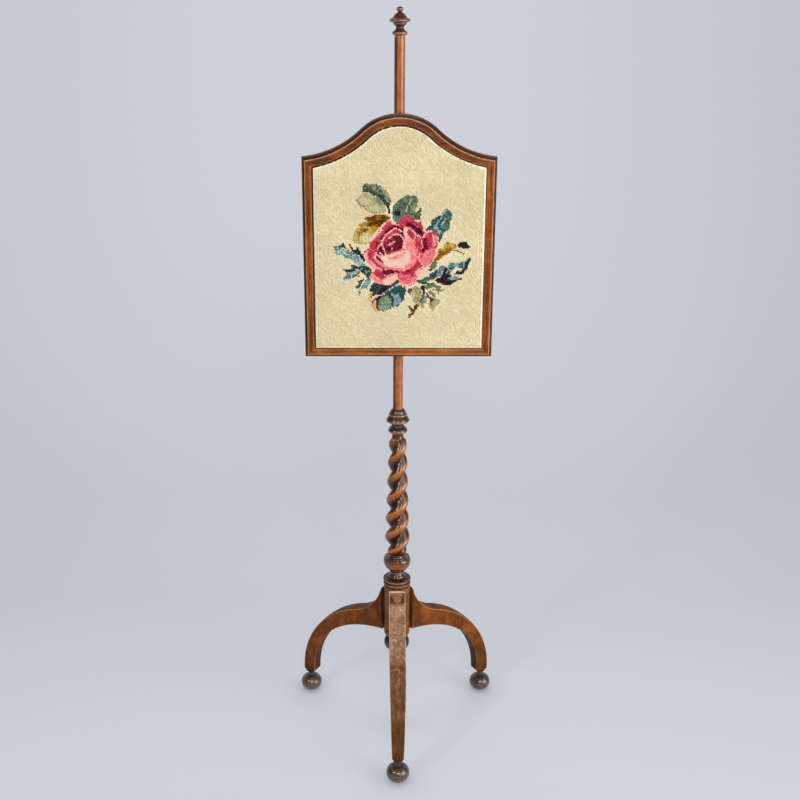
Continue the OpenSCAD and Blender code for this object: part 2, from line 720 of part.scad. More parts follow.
// A hole for a screw, or the screw itself: head at the back, shank towards the front
module screw(place, y, length, room) {
    translate([place[0], y, place[1]]) rotate([90, 0, 0]) {
        cylinder(h = length + room, r = screw_r + room);
        cylinder(h = screw_head_r - screw_r, r1 = screw_head_r + room, r2 = screw_r + room);
    }
}

module frame_holes() {
    corner_pegs(glue_fit);
    for (p = ledge_screws()) screw(p, back_y + eps, panel_screw_len, glue_fit);
    for (p = bracket_screw_places()) screw(p, back_y + plate_t, screw_len, glue_fit);
}

module on_pole() {
    translate([0, pole_y, 0]) children();
}

module stile() {
    color("sienna") on_pole() difference() {
        intersection() {
            translate([0, 0, screen_z - past]) linear_extrude(screen_side_h + 2 * past)
                polygon([for (p = frame_section(stile_w)) [half_w - p[0], face_y + p[1]]]);
            stile_zone();
        }
        frame_holes();
    }
}

module right_stile() {
    stile();
}

module left_stile() {
    mirror([1, 0, 0]) stile();
}

module bottom_rail() {
    color("sienna") on_pole() difference() {
        translate([-half_w, 0, 0]) rotate([90, 0, 90]) linear_extrude(screen_w)
            polygon([for (p = frame_section(bottom_rail_w)) [face_y + p[1], screen_z + p[0]]]);
        both_sides() stile_zone();
        frame_holes();
    }
}

// Stations along the top rail, right to left: centre, radius, way inwards and angle
function rail_stations(bend, crown) =
    let (step = turn_angle / bend, crown_step = 2 * turn_angle / crown,
        right = [for (i = [0 : bend - 1]) [shoulder_x, shoulder_z, shoulder_r, 1, 270 - step * i]],
        left = [for (i = [bend - 1 : -1 : 0]) [-shoulder_x, shoulder_z, shoulder_r, 1, 270 + step * i]],
        middle = [for (i = [0 : crown]) [0, crown_z, crown_r, -1, 90 - turn_angle + crown_step * i]])
    concat(right, middle, left);

// The top rail's moulding carried along its shoulders and crown
module rail_sweep() {
    section = frame_section(top_rail_w);
    stations = rail_stations(10, 20);
    n = len(section);
    last = (len(stations) - 1) * n;
    points = [for (s = stations, p = section) let (r = s[2] + s[3] * p[0])
        [s[0] + r * cos(s[4]), face_y + p[1], s[1] + r * sin(s[4])]];
    walls = [for (i = [0 : len(stations) - 2], j = [0 : n - 1])
        let (a = i * n + j, b = i * n + (j + 1) % n) each [[a, b, a + n], [b, b + n, a + n]]];
    ends = [[for (j = [n - 1 : -1 : 0]) j], [for (j = [0 : n - 1]) last + j]];
    polyhedron(points, concat(walls, ends));
}

module top_rail() {
    color("sienna") on_pole() difference() {
        rail_sweep();
        both_sides() stile_zone();
        frame_holes();
    }
}

module frame_pegs() {
    color("tan") on_pole() corner_pegs(0);
}

module strainer_zone(y0, y1) {
    canvas_zone(canvas_t, y0, y1);
}

// A block over a range of x and z, right through the panel
module panel_block(x0, x1, z0, z1) {
    translate([x0, -far / 2, z0]) cube([x1 - x0, far, z1 - z0]);
}

module strainer_bar() {
    on_pole() difference() {
        union() {
            intersection() {
                strainer_zone(lap_y - bar_t / 2, lap_y);
                panel_block(bar_x, half_w, screen_z, crown_top_z);
            }
            intersection() {
                strainer_zone(lap_y, bars_y);
                panel_block(bar_x, half_w, bar_low_z, bar_high_z);
            }
        }
        panel_holes();
    }
}

module strainer_right() {
    color("burlywood") strainer_bar();
}

module strainer_left() {
    color("burlywood") mirror([1, 0, 0]) strainer_bar();
}

// A cross bar of the strainer, halved behind the side bars
module strainer_cross(z0, z1) {
    color("burlywood") on_pole() difference() {
        intersection() {
            strainer_zone(bars_y - bar_t, bars_y);
            panel_block(-half_w, half_w, z0, z1);
        }
        both_sides() translate([bar_x, lap_y - far, z0 - past]) cube([far, far, z1 - z0 + 2 * past]);
        panel_holes();
    }
}

module strainer_bottom() {
    strainer_cross(screen_z, bar_low_z);
}

module strainer_top() {
    strainer_cross(bar_high_z, crown_top_z);
}

// Places of the tacks round the panel's edge, each with the way its shank points
function tack_places() =
    let (x = sight_x - canvas_room, z = sight_z + canvas_room,
        r = crown_r - top_rail_w - canvas_room, h = mitre_top[1] - z, spread = turn_angle * tack_spread)
    concat(
        [for (i = [0 : tacks_side - 1]) [x, z + h * (i + 1) / (tacks_side + 1), 90]],
        [for (i = [0 : tacks_side - 1]) [-x, z + h * (i + 1) / (tacks_side + 1), 270]],
        [for (i = [0 : tacks_low - 1]) [bar_x * (2 * (i + 1) / (tacks_low + 1) - 1), z, 180]],
        [for (i = [0 : tacks_crown - 1]) let (a = spread * (2 * (i + 1) / (tacks_crown + 1) - 1))
            [r * sin(a), crown_z + r * cos(a), a]]
    );

module tacks(room) {
    for (p = tack_places()) translate([p[0], lap_y, p[1]]) rotate([0, p[2], 0]) {
        translate([0, 0, -tack_len]) cylinder(h = tack_len + tack_head_t, r = tack_r + room, $fn = 16);
        if (room == 0) cylinder(h = tack_head_t, r = tack_head_r, $fn = 24);
    }
}

module panel_holes() {
    tacks(glue_fit);
    for (p = ledge_screws()) screw(p, back_y + eps, panel_screw_len, glue_fit);
}

module needlework() {
    color("wheat") on_pole() difference() {
        canvas_zone(0, canvas_y, bars_y);
        canvas_zone(canvas_t, canvas_y + canvas_t, bars_y + past);
        tacks(glue_fit);
    }
}

module canvas_tacks() {
    color("dimgray") on_pole() tacks(0);
}

module backboard() {
    color("peru") on_pole() difference() {
        canvas_zone(0, bars_y, board_y);
        for (p = ledge_screws()) screw(p, back_y + eps, panel_screw_len, glue_fit);
    }
}

module panel_screws() {
    color("goldenrod") on_pole()
        for (p = ledge_screws()) screw(p, back_y, panel_screw_len, 0);
}

// A plate against the frame with a ring for the pole
module bracket(z0, ring_z0, bore_r) {
    difference() {
        union() {
            translate([-plate_w / 2, back_y, z0]) cube([plate_w, plate_t, plate_h]);
            translate([0, 0, ring_z0]) cylinder(h = ring_h, r = ring_r);
            children();
        }
        translate([0, 0, z0 - far / 2]) cylinder(h = far, r = bore_r);
        for (p = bracket_screw_places()) screw(p, back_y + plate_t + eps, screw_len, glue_fit);
    }
}

module upper_bracket() {
    color("goldenrod") on_pole()
        bracket(high_plate_z, high_plate_z + (plate_h - ring_h) / 2, pole_r + guide_gap);
}

module lower_bracket() {
    color("goldenrod") on_pole() difference() {
        bracket(low_plate_z, low_ring_z, bush_r + run_fit)
            translate([0, 0, thumb_z]) rotate([-90, 0, 0]) cylinder(h = thumb_boss_out, r = thumb_boss_r);
        translate([0, 0, thumb_z]) rotate([-90, 0, 0]) cylinder(h = far, r = thumb_r + run_fit);
        translate([0, 0, low_ring_z - far]) cylinder(h = far, r = flange_r + seat_gap);
    }
}

module bracket_screws() {
    color("darkgoldenrod") on_pole()
        for (p = bracket_screw_places()) screw(p, back_y + plate_t, screw_len, 0);
}

module slide_bush() {
    low = low_ring_z - seat_gap - flange_t;
    color("gold") on_pole() difference() {
        union() {
            translate([0, 0, low]) cylinder(h = flange_t, r = flange_r);
            translate([0, 0, low]) cylinder(h = flange_t + ring_h + 2 * seat_gap, r = bush_r);
        }
        translate([0, 0, low - past]) cylinder(h = far, r = pole_r + run_fit);
    }
}

module thumbscrew() {
    tip_y = bush_r + seat_gap;
    color("gold") on_pole() translate([0, 0, thumb_z]) rotate([-90, 0, 0]) {
        translate([0, 0, tip_y]) cylinder(h = knob_y - tip_y, r = thumb_r);
        translate([0, 0, knob_y]) linear_extrude(thumb_knob_t) difference() {
            circle(r = thumb_knob_r);
            for (i = [0 : thumb_flutes - 1]) rotate(360 * i / thumb_flutes)
                translate([thumb_knob_r + thumb_flute_out, 0]) circle(r = thumb_flute_r, $fn = 24);
        }
    }
}

leg(0);  // leg_front
leg(1);  // leg_left
leg(2);  // leg_right
foot(0);  // foot_front
foot(1);  // foot_left
foot(2);  // foot_right
leg_block();
pendant_drop();
twist_column();
pole();
finial();
slide_bush();
thumbscrew();
upper_bracket();
lower_bracket();
bracket_screws();
top_rail();
bottom_rail();
left_stile();
right_stile();
frame_pegs();
strainer_top();
strainer_bottom();
strainer_left();
strainer_right();
needlework();
canvas_tacks();
backboard();
panel_screws();
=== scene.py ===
import math
import re

import bpy
import numpy as np
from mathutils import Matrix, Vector


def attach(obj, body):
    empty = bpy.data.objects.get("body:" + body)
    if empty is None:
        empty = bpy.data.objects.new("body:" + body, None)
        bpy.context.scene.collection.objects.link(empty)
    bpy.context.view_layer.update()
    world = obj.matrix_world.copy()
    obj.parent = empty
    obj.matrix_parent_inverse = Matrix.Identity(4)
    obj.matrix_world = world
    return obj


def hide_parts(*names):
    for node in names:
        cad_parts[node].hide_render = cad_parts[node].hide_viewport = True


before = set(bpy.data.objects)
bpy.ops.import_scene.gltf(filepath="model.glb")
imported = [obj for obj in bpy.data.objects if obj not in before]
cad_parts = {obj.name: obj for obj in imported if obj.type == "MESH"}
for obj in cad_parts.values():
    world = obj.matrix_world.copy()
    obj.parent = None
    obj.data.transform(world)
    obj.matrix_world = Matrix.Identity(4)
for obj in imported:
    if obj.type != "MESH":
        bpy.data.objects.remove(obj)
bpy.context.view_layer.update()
print("frame loaded:", len(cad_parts), "nodes")

# points are worked out in millimetres and turned to metres when a mesh is made
mm = 0.001
poleY = 0.0565  # the pole stands behind the origin
poleAt = poleY / mm
rng = np.random.default_rng(11)
scene = bpy.context.scene


# a colour as seen on a screen, 0 to 255, on the renderer's own scale
def tone(*seen):
    share = [c / 255 for c in seen]
    return (*[c / 12.92 if c <= 0.04045 else ((c + 0.055) / 1.055) ** 2.4 for c in share], 1.0)


def grey(v):
    return (v, v, v, 1.0)


def easeIn(x, a, b):
    t = np.clip((np.asarray(x, float) - a) / (b - a), 0, 1)
    return t * t * (3 - 2 * t)


def lengthAlong(line):
    return np.concatenate([[0], np.cumsum(np.linalg.norm(np.diff(line, axis=0), axis=1))])


# smooth line through [a, b] knots, with points about a step apart
def smoothRun(knots, step):
    p = np.array(knots, float)
    if len(p) == 2:
        n = max(1, int(np.linalg.norm(p[1] - p[0]) / step))
        t = np.linspace(0, 1, n + 1)[:, None]
        return p[0] * (1 - t) + p[1] * t
    ext = np.vstack([2 * p[0] - p[1], p, 2 * p[-1] - p[-2]])
    out = [p[0]]
    for p0, p1, p2, p3 in zip(ext, ext[1:], ext[2:], ext[3:]):
        n = max(2, int(np.linalg.norm(p2 - p1) / step))
        d1, d2, d3 = [max(np.linalg.norm(b - a), 1e-6) ** 0.5 for a, b in ((p0, p1), (p1, p2), (p2, p3))]
        m1 = ((p1 - p0) / d1 - (p2 - p0) / (d1 + d2) + (p2 - p1) / d2) * d2
        m2 = ((p2 - p1) / d2 - (p3 - p1) / (d2 + d3) + (p3 - p2) / d3) * d2
        for k in range(1, n + 1):
            t = k / n
            out.append((2 * t**3 - 3 * t**2 + 1) * p1 + (t**3 - 2 * t**2 + t) * m1
                       + (-2 * t**3 + 3 * t**2) * p2 + (t**3 - t**2) * m2)
    return np.array(out)


# a turner's profile, drawn as "radius,height" knots with a bar at each sharp corner
def profileOf(shape, step):
    out, last = [], []
    for run in shape.split("|"):
        knots = last + [[float(v) for v in knot.split(",")] for knot in run.split()]
        last = knots[-1:]
        line = smoothRun(knots, step)
        out.append(line[1:] if out else line)
    return np.vstack(out)


def addPiece(name, points, faces, body, replaced=(), wear=None, grime=None, sharp=40):
    mesh = bpy.data.meshes.new(name)
    mesh.from_pydata([tuple(p) for p in np.asarray(points) * mm], [],
                     [tuple(int(i) for i in f) for f in faces])
    mesh.validate()
    mesh.polygons.foreach_set("use_smooth", [True] * len(mesh.polygons))
    mesh.set_sharp_from_angle(angle=math.radians(sharp))
    for key, values in (("wear", wear), ("grime", grime)):
        if values is not None:
            mesh.attributes.new(key, "FLOAT", "POINT").data.foreach_set("value",
                                                                        np.asarray(values, np.float32))
    ob = bpy.data.objects.new(name, mesh)
    scene.collection.objects.link(ob)
    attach(ob, body)
    if replaced:
        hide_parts(*replaced)
    return ob


# quads between the rows of a grid of points, rows closed into rings if asked
def gridFaces(rows, cols, closed, start=0, flip=False):
    out = []
    for i in range(rows - 1):
        low, high = start + i * cols, start + (i + 1) * cols
        for j in range(cols if closed else cols - 1):
            k = (j + 1) % cols
            q = (low + j, low + k, high + k, high + j)
            out.append(q[::-1] if flip else q)
    return out


# a closed skin of rings with a flat face at each end
def tubeFaces(rows, cols):
    last = (rows - 1) * cols
    return gridFaces(rows, cols, True) + [tuple(range(cols - 1, -1, -1)), tuple(range(last, last + cols))]


def polish(ob, mat):
    ob.data.materials.clear()
    ob.data.materials.append(mat)


# reach and the hollow values set the dark wax in hollows; near and the edge values set the rims' pale wear
# and painted highlight; the rest sets the painted shade on upward faces
patinaAndShade = dict(reach=5.0, near=1.2, hollowFull=2.4, hollowMost=0.8, shadeFrom=-0.1, shadeFull=0.45,
              edgeFrom=0.06, edgeFull=0.14, rimUnderShade=0.8, rimUnderShadeFull=0.5)


# a turned piece from its lower end to its upper one; stain gives [low, high, depth] bands of dark wax,
# upward-facing surfaces get a painted shade and convex rims a painted highlight
def turnPiece(name, wood, body, replaced, slot, shape, at=(0.0, 0.0), sides=112, step=0.5, paintedShade=0.9, rim=0.7,
              stain=()):
    profile = profileOf(shape, step)
    radius, height = profile.T
    run = lengthAlong(profile)

    def besides(reach):
        return 0.5 * (np.interp(run - reach, run, radius) + np.interp(run + reach, run, radius))

    hollow = np.maximum(besides(patinaAndShade["reach"]) - radius, 0)
    edge = np.maximum(radius - besides(patinaAndShade["near"]), 0)
    tangent = np.gradient(profile, axis=0)
    up = -tangent[:, 0] / np.maximum(np.linalg.norm(tangent, axis=1), 1e-9)
    grime = np.clip(hollow / patinaAndShade["hollowFull"], 0, patinaAndShade["hollowMost"])
    # painted shade: upward-facing surfaces are darkened, on top of the dark wax in the hollows
    grime = grime + paintedShade * easeIn(up, patinaAndShade["shadeFrom"], patinaAndShade["shadeFull"])
    # pale wear on convex rims, partly a painted highlight line, fading where the painted shade lies
    wear = rim * np.clip((edge - patinaAndShade["edgeFrom"]) / patinaAndShade["edgeFull"], 0, 1)
    wear = wear * (1 - patinaAndShade["rimUnderShade"] * easeIn(up, 0.0, patinaAndShade["rimUnderShadeFull"]))
    for low, high, depth in stain:
        grime = np.where((height >= low) & (height <= high), np.maximum(grime, depth), grime)
    a = np.linspace(0, 2 * math.pi, sides, endpoint=False)
    pts = np.stack([radius[:, None] * np.cos(a) + at[0], radius[:, None] * np.sin(a) + at[1] + poleAt,
                    np.repeat(height[:, None], sides, axis=1)], axis=-1).reshape(-1, 3)
    ob = addPiece(name, pts, tubeFaces(len(profile), sides), body, replaced, np.repeat(wear, sides),
                  np.clip(np.repeat(grime, sides), 0, 1))
    polish(ob, wood)
    return ob


def newMaterial(name):
    mat = bpy.data.materials.new(name)
    mat.use_nodes = True
    return mat, mat.node_tree, mat.node_tree.nodes["Principled BSDF"]


# puts a plain value on a socket, or links another node's socket to it
def feed(nt, target, inputs):
    for key, value in inputs.items():
        if isinstance(value, bpy.types.NodeSocket):
            nt.links.new(value, target.inputs[key])
        else:
            target.inputs[key].default_value = value


def node(nt, kind, inputs={}, **settings):
    n = nt.nodes.new(kind)
    for key, value in settings.items():
        setattr(n, key, value)
    feed(nt, n, inputs)
    return n


def ramp(nt, source, stops):
    n = node(nt, "ShaderNodeValToRGB", {"Fac": source})
    while len(n.color_ramp.elements) < len(stops):
        n.color_ramp.elements.new(0.5)
    for e, (pos, col) in zip(n.color_ramp.elements, stops):
        e.position = pos
        e.color = col if isinstance(col, tuple) else grey(col)
    return n.outputs["Color"]


def mixColour(nt, fac, a, b, kind="MIX"):
    n = node(nt, "ShaderNodeMix", data_type="RGBA", blend_type=kind)
    feed(nt, n, {0: fac, 6: a, 7: b})
    return n.outputs[2]


def maths(nt, op, *values):
    return node(nt, "ShaderNodeMath", dict(enumerate(values)), operation=op,
                use_clamp=op != "MAXIMUM").outputs[0]


def noiseOf(nt, vector, scale, detail=3.0, rough=0.5, distort=0.0):
    return node(nt, "ShaderNodeTexNoise", {"Vector": vector, "Scale": scale, "Detail": detail,
                                           "Roughness": rough, "Distortion": distort}).outputs["Fac"]


def bumpOf(nt, height, strength, distance):
    return node(nt, "ShaderNodeBump", {"Strength": strength, "Distance": distance,
                                       "Height": height}).outputs["Normal"]


def rangeOf(nt, source, low, high):
    return node(nt, "ShaderNodeMapRange", {"Value": source, "To Min": low, "To Max": high}).outputs["Result"]


# polished wood: streaks and pores along the grain, dark wax in hollows with painted shade, pale wear on
# arrises with painted highlights
def woodFinish(name, base, **own):
    s = dict(base, **own)
    mat, nt, shader = newMaterial(name)

    def times(a, b):
        return maths(nt, "MULTIPLY", a, b)

    def over(colour, mask, key):
        return mixColour(nt, mask, colour, tone(*s[key]))

    spot = node(nt, "ShaderNodeTexCoord").outputs["Object"]
    turned = node(nt, "ShaderNodeMapping", {"Rotation": s["grainTurn"], "Vector": spot}).outputs["Vector"]
    along = node(nt, "ShaderNodeMapping", {"Scale": (1, 1, s["stretch"]), "Vector": turned}).outputs["Vector"]
    streak = noiseOf(nt, along, s["streakScale"], 5, 0.6, 0.6)
    fine = noiseOf(nt, along, s["streakScale"] * 5, 4, 0.6)
    pores = noiseOf(nt, along, s["streakScale"] * 16, 2, 0.5)
    blotch = noiseOf(nt, spot, s["blotchScale"], 4, 0.6)
    mottle = noiseOf(nt, spot, s["mottleScale"], 5, 0.65, 0.8)
    fleck = noiseOf(nt, spot, s["fleckScale"], 3, 0.6)
    grime, wear = [node(nt, "ShaderNodeAttribute", attribute_name=key).outputs["Fac"]
                   for key in ("grime", "wear")]
    streak = maths(nt, "ADD", times(streak, 1 - s["mottle"]), times(mottle, s["mottle"]))
    steps = ((0.30, "dark"), (0.48, "mid"), (0.70, "light"))
    colour = ramp(nt, streak, [(at, tone(*s[key])) for at, key in steps])
    colour = mixColour(nt, s["lines"], colour, ramp(nt, fine, [(0.35, 0.55), (0.62, 1)]), "MULTIPLY")
    colour = mixColour(nt, 0.9, colour, ramp(nt, blotch, [(0.34, s["blotchLow"]), (0.66, 1)]), "MULTIPLY")
    colour = over(colour, times(ramp(nt, pores, [(0.24, 1), (0.40, 0)]), s["poreDepth"]), "pore")
    colour = over(colour, times(ramp(nt, fleck, [(0.56, 0), (0.68, 1)]), s["fleck"]), "fleckTone")
    # dark wax, darkening and painted shade, read from the mesh
    grimeMix = times(grime, ramp(nt, blotch, [(0.2, 1), (0.8, 0.72)]))
    colour = over(colour, times(grimeMix, s["grimeDepth"]), "grime")
    # pale wear and painted highlight lines, read from the mesh
    wearMix = times(wear, ramp(nt, fine, [(0.3, 0.45), (0.6, 1)]))
    colour = over(colour, times(wearMix, s["wearDepth"]), "wear")
    rough = maths(nt, "ADD", rangeOf(nt, blotch, s["roughLow"], s["roughHigh"]),
                  times(grime, s["mattHollow"]))
    relief = maths(nt, "ADD", times(pores, 0.6), times(fine, 0.4))
    feed(nt, shader, {"Base Color": colour, "Roughness": rough, "Specular IOR Level": s["shine"],
                      "Coat Weight": s["coat"], "Coat Roughness": s["coatRough"],
                      "Normal": bumpOf(nt, relief, s["bump"], 0.0004)})
    return mat


upright = (0, 0, 0)
across = (0, math.pi / 2, 0)
# colours as seen, 0 to 255; scales are per metre, depths and shines are shares of one
walnut = dict(
    grainTurn=upright, stretch=0.05, streakScale=95, blotchScale=24, blotchLow=0.55, mottle=0.35,
    mottleScale=70, lines=0.7, dark=(74, 33, 11), mid=(132, 70, 22), light=(172, 102, 42), fleck=0.25,
    fleckScale=260, fleckTone=(196, 120, 52), pore=(40, 16, 6), poreDepth=0.5, grime=(26, 14, 10),
    grimeDepth=0.95, wear=(220, 146, 84), wearDepth=0.65, roughLow=0.3, roughHigh=0.46, mattHollow=0.2,
    shine=0.25, coat=0.6, coatRough=0.14, bump=0.15)
turnedWood = woodFinish(
    "turned walnut", walnut, lines=0.9, dark=(82, 31, 5), mid=(152, 73, 10), light=(206, 110, 24),
    grime=(20, 8, 6), grimeDepth=1.0, wear=(240, 156, 74), wearDepth=0.75, poreDepth=0.3, roughLow=0.18,
    roughHigh=0.24, mattHollow=0.12, shine=0.42, coat=0.25, coatRough=0.13, bump=0.01)
darkTurnedWood = woodFinish(
    "dark turned walnut", walnut, dark=(36, 15, 8), mid=(70, 33, 15), light=(108, 57, 26), fleck=0.15,
    wear=(206, 136, 78), wearDepth=0.6, roughLow=0.2, roughHigh=0.3, shine=0.45, coat=0.6, coatRough=0.08,
    bump=0.04)
finialWood = woodFinish(
    "finial walnut", walnut, dark=(42, 18, 9), mid=(84, 38, 18), light=(132, 68, 34), fleck=0.15,
    wear=(222, 140, 88), wearDepth=0.7, roughLow=0.22, roughHigh=0.32, shine=0.5, coat=0.9, coatRough=0.08,
    bump=0.04)
ballWood = woodFinish(
    "ball walnut", walnut, mottle=0.6, dark=(74, 32, 10), mid=(138, 68, 18), light=(180, 98, 32),
    blotchScale=60, blotchLow=0.35, wear=(226, 156, 104), grime=(28, 13, 9), mattHollow=0.0, roughLow=0.2,
    roughHigh=0.3, shine=0.5, coatRough=0.1, bump=0.04)
poleWood = woodFinish(
    "pole walnut", walnut, dark=(86, 36, 12), mid=(168, 88, 32), light=(216, 134, 64), blotchScale=30,
    roughHigh=0.38, shine=0.3, coatRough=0.13, bump=0.06)
frameWood = dict(
    walnut, streakScale=120, blotchLow=0.5, dark=(68, 29, 6), mid=(122, 62, 12), light=(162, 92, 25),
    wear=(228, 176, 140), coat=0.22, coatRough=0.16, shine=0.12)
frameUprightWood = woodFinish("frame walnut upright", frameWood)
# lit and shaded copies of the frame walnut: the right stile and the bottom rail paler as painted light, the
# top rail darker as painted shade
frameRightLitWood = woodFinish(
    "frame walnut right lit", frameWood, streakScale=80, dark=(66, 28, 6), mid=(128, 62, 10),
    light=(190, 104, 26))
frameLowLitWood = woodFinish(
    "frame walnut low lit", frameWood, grainTurn=across, dark=(94, 45, 14), mid=(150, 84, 31),
    light=(190, 118, 52))
frameTopShadedWood = woodFinish(
    "frame walnut top shaded", frameWood, grainTurn=across, dark=(62, 26, 9), mid=(110, 55, 20), light=(150, 84, 36),
    grime=(22, 11, 8))
# a paler, greyer copy of the leg walnut; its paleness is partly a painted sheen
frontLegSheenWood = woodFinish(
    "front leg walnut with painted sheen", walnut, stretch=0.14, streakScale=150, blotchLow=0.36, mottle=0.45, mottleScale=60,
    lines=0.6, dark=(84, 51, 33), mid=(154, 110, 82), light=(202, 164, 136), fleck=0.45, fleckScale=90,
    fleckTone=(208, 180, 158), wear=(228, 204, 180), grime=(76, 42, 8), grimeDepth=1.0, mattHollow=0.5,
    shine=0.06, coat=0.08, coatRough=0.34)
sideLeg = dict(
    walnut, mottle=0.8, mottleScale=48, lines=0.4, dark=(98, 46, 12), mid=(132, 70, 20), light=(160, 92, 32),
    wear=(200, 146, 104), wearDepth=0.5, shine=0.1, coat=0.08, coatRough=0.25, roughLow=0.38, roughHigh=0.55)
sideLegWood = woodFinish("side leg walnut", sideLeg)
blockWood = woodFinish(
    "block walnut", sideLeg, grime=(30, 13, 9), grimeDepth=1.0, wear=(220, 160, 124), wearDepth=0.6,
    mattHollow=0.0, shine=0.2, coat=0.2, coatRough=0.06, roughLow=0.22, roughHigh=0.32)
footWood = woodFinish(
    "dark foot wood", walnut, mottle=0.9, mottleScale=160, lines=0.3, dark=(38, 26, 19), mid=(78, 58, 46),
    light=(138, 110, 92), fleck=0.5, fleckScale=320, fleckTone=(176, 122, 82), roughLow=0.2, roughHigh=0.32,
    shine=0.55, coat=0.5, coatRough=0.09, grime=(26, 16, 12), wear=(140, 100, 74))
pendantWood = woodFinish(
    "pendant wood", walnut, mottle=0.7, dark=(34, 17, 11), mid=(60, 32, 20), light=(92, 54, 34),
    wear=(150, 90, 56))
print("woods mixed")

view = dict(lens=50.0, sensor=36.0, height=1.449, back=2.148 - poleY, pitch=18.15, aside=-0.0365, shift=0.025)
camData = bpy.data.cameras.new("camera")
camData.lens = view["lens"]
camData.sensor_width = view["sensor"]
camData.shift_x = view["shift"]
cam = bpy.data.objects.new("camera", camData)
cam.location = (view["aside"], -view["back"], view["height"])
cam.rotation_euler = (math.radians(90 - view["pitch"]), 0, 0)
scene.collection.objects.link(cam)
scene.camera = cam

# a floor that bends up into a backdrop; its own glow is paler in front, with a painted contact shadow close
# under the feet
sweep = dict(front=-3.4, bend=1.3, radius=1.6, top=5.0, halfWidth=5.0, colour=(188, 191, 198), even=0.62,
             paintedContactShadow=0.6, contactReach=0.08, glowFrom=-0.3, glowTo=2.9, rough=0.9, shine=0.1,
             glow=((0.0, (219, 222, 232)), (0.28, (201, 204, 212)), (0.6, (203, 206, 214)),
                   (1.0, (211, 214, 222))))
bend = [math.radians(a) for a in range(6, 91, 6)]
line = [(sweep["front"], 0.0), (sweep["bend"], 0.0)]
line += [(sweep["bend"] + sweep["radius"] * math.sin(a), sweep["radius"] * (1 - math.cos(a))) for a in bend]
line.append((sweep["bend"] + sweep["radius"], sweep["top"]))
pts = [(x, y, z) for y, z in line for x in (-sweep["halfWidth"], sweep["halfWidth"])]
stageMesh = bpy.data.meshes.new("studioSweep")
stageMesh.from_pydata(pts, [], [(2 * i, 2 * i + 1, 2 * i + 3, 2 * i + 2) for i in range(len(line) - 1)])
stageMesh.polygons.foreach_set("use_smooth", [True] * len(stageMesh.polygons))
studioSweep = bpy.data.objects.new("studioSweep", stageMesh)
scene.collection.objects.link(studioSweep)
sweepMat, nt, shader = newMaterial("studio sweep paper")
feed(nt, shader, {"Base Color": tone(*sweep["colour"]), "Roughness": sweep["rough"],
                  "Specular IOR Level": sweep["shine"]})
path = node(nt, "ShaderNodeLightPath")
seen = maths(nt, "MAXIMUM", path.outputs["Is Camera Ray"], path.outputs["Is Glossy Ray"])
seen = maths(nt, "MAXIMUM", seen, path.outputs["Is Transmission Ray"])
place = node(nt, "ShaderNodeSeparateXYZ", {0: node(nt, "ShaderNodeNewGeometry").outputs["Position"]})
fade = node(nt, "ShaderNodeMapRange", {"From Min": sweep["glowFrom"], "From Max": sweep["glowTo"],
                                       "Value": place.outputs["Y"]})
# painted contact shadow: the glow darkens where the feet stand close
paintedContactShadow = node(nt, "ShaderNodeAmbientOcclusion", {"Distance": sweep["contactReach"]})
contactShade = maths(nt, "MULTIPLY_ADD", paintedContactShadow.outputs["AO"], sweep["paintedContactShadow"], 1 - sweep["paintedContactShadow"])
glowTone = ramp(nt, fade.outputs["Result"], [(at, tone(*c)) for at, c in sweep["glow"]])
glowTone = mixColour(nt, 1.0, glowTone, contactShade, "MULTIPLY")
glow = node(nt, "ShaderNodeEmission", {"Strength": 1.0, "Color": glowTone})
both = node(nt, "ShaderNodeMixShader", {0: maths(nt, "MULTIPLY", seen, sweep["even"]), 1: shader.outputs[0],
                                        2: glow.outputs[0]})
feed(nt, nt.nodes["Material Output"], {"Surface": both.outputs[0]})
polish(studioSweep, sweepMat)


# glossy says whether the lamp shows in the polish
def areaLamp(name, place, aim, size, power, colour=(1, 1, 1), spread=180, glossy=True):
    data = bpy.data.lights.new(name, "AREA")
    data.shape = "RECTANGLE"
    data.size, data.size_y = size
    data.energy = power
    data.color = colour
    data.spread = math.radians(spread)
    ob = bpy.data.objects.new(name, data)
    ob.location = place
    ob.rotation_euler = (Vector(aim) - Vector(place)).to_track_quat("-Z", "Y").to_euler()
    scene.collection.objects.link(ob)
    ob.visible_glossy = glossy


middle = (0, 0, 1.0)
lamps = dict(
    keyRight=dict(place=(2.05, -1.3, 1.3), aim=middle, size=(1.9, 2.3), power=25.5, colour=(1.0, 0.97, 0.93),
                  spread=100),
    fillLeft=dict(place=(-1.7, -1.9, 2.1), aim=middle, size=(0.3, 0.6), power=7.5, colour=(0.98, 0.98, 1.0),
                  spread=90),
    frontSoft=dict(place=(0.3, -3.6, 2.6), aim=middle, size=(1.2, 1.2), power=18, colour=(1.0, 0.99, 0.97),
                   spread=90),
    topSoft=dict(place=(0, -0.2, 3.6), aim=(0, 0, 0.5), size=(2.4, 2.4), power=14, glossy=False),
    backWash=dict(place=(0, 0.9, 3.4), aim=(0, 2.6, 1.2), size=(3.0, 0.8), power=60, glossy=False))
for name, settings in lamps.items():
    areaLamp(name, **settings)
air = dict(colour=(198, 202, 210), strength=0.22)
world = bpy.data.worlds.new("studio")
scene.world = world
world.use_nodes = True
feed(world.node_tree, world.node_tree.nodes["Background"],
     {"Color": tone(*air["colour"]), "Strength": air["strength"]})
scene.view_settings.view_transform = "Standard"
print("camera, sweep and lamps set")

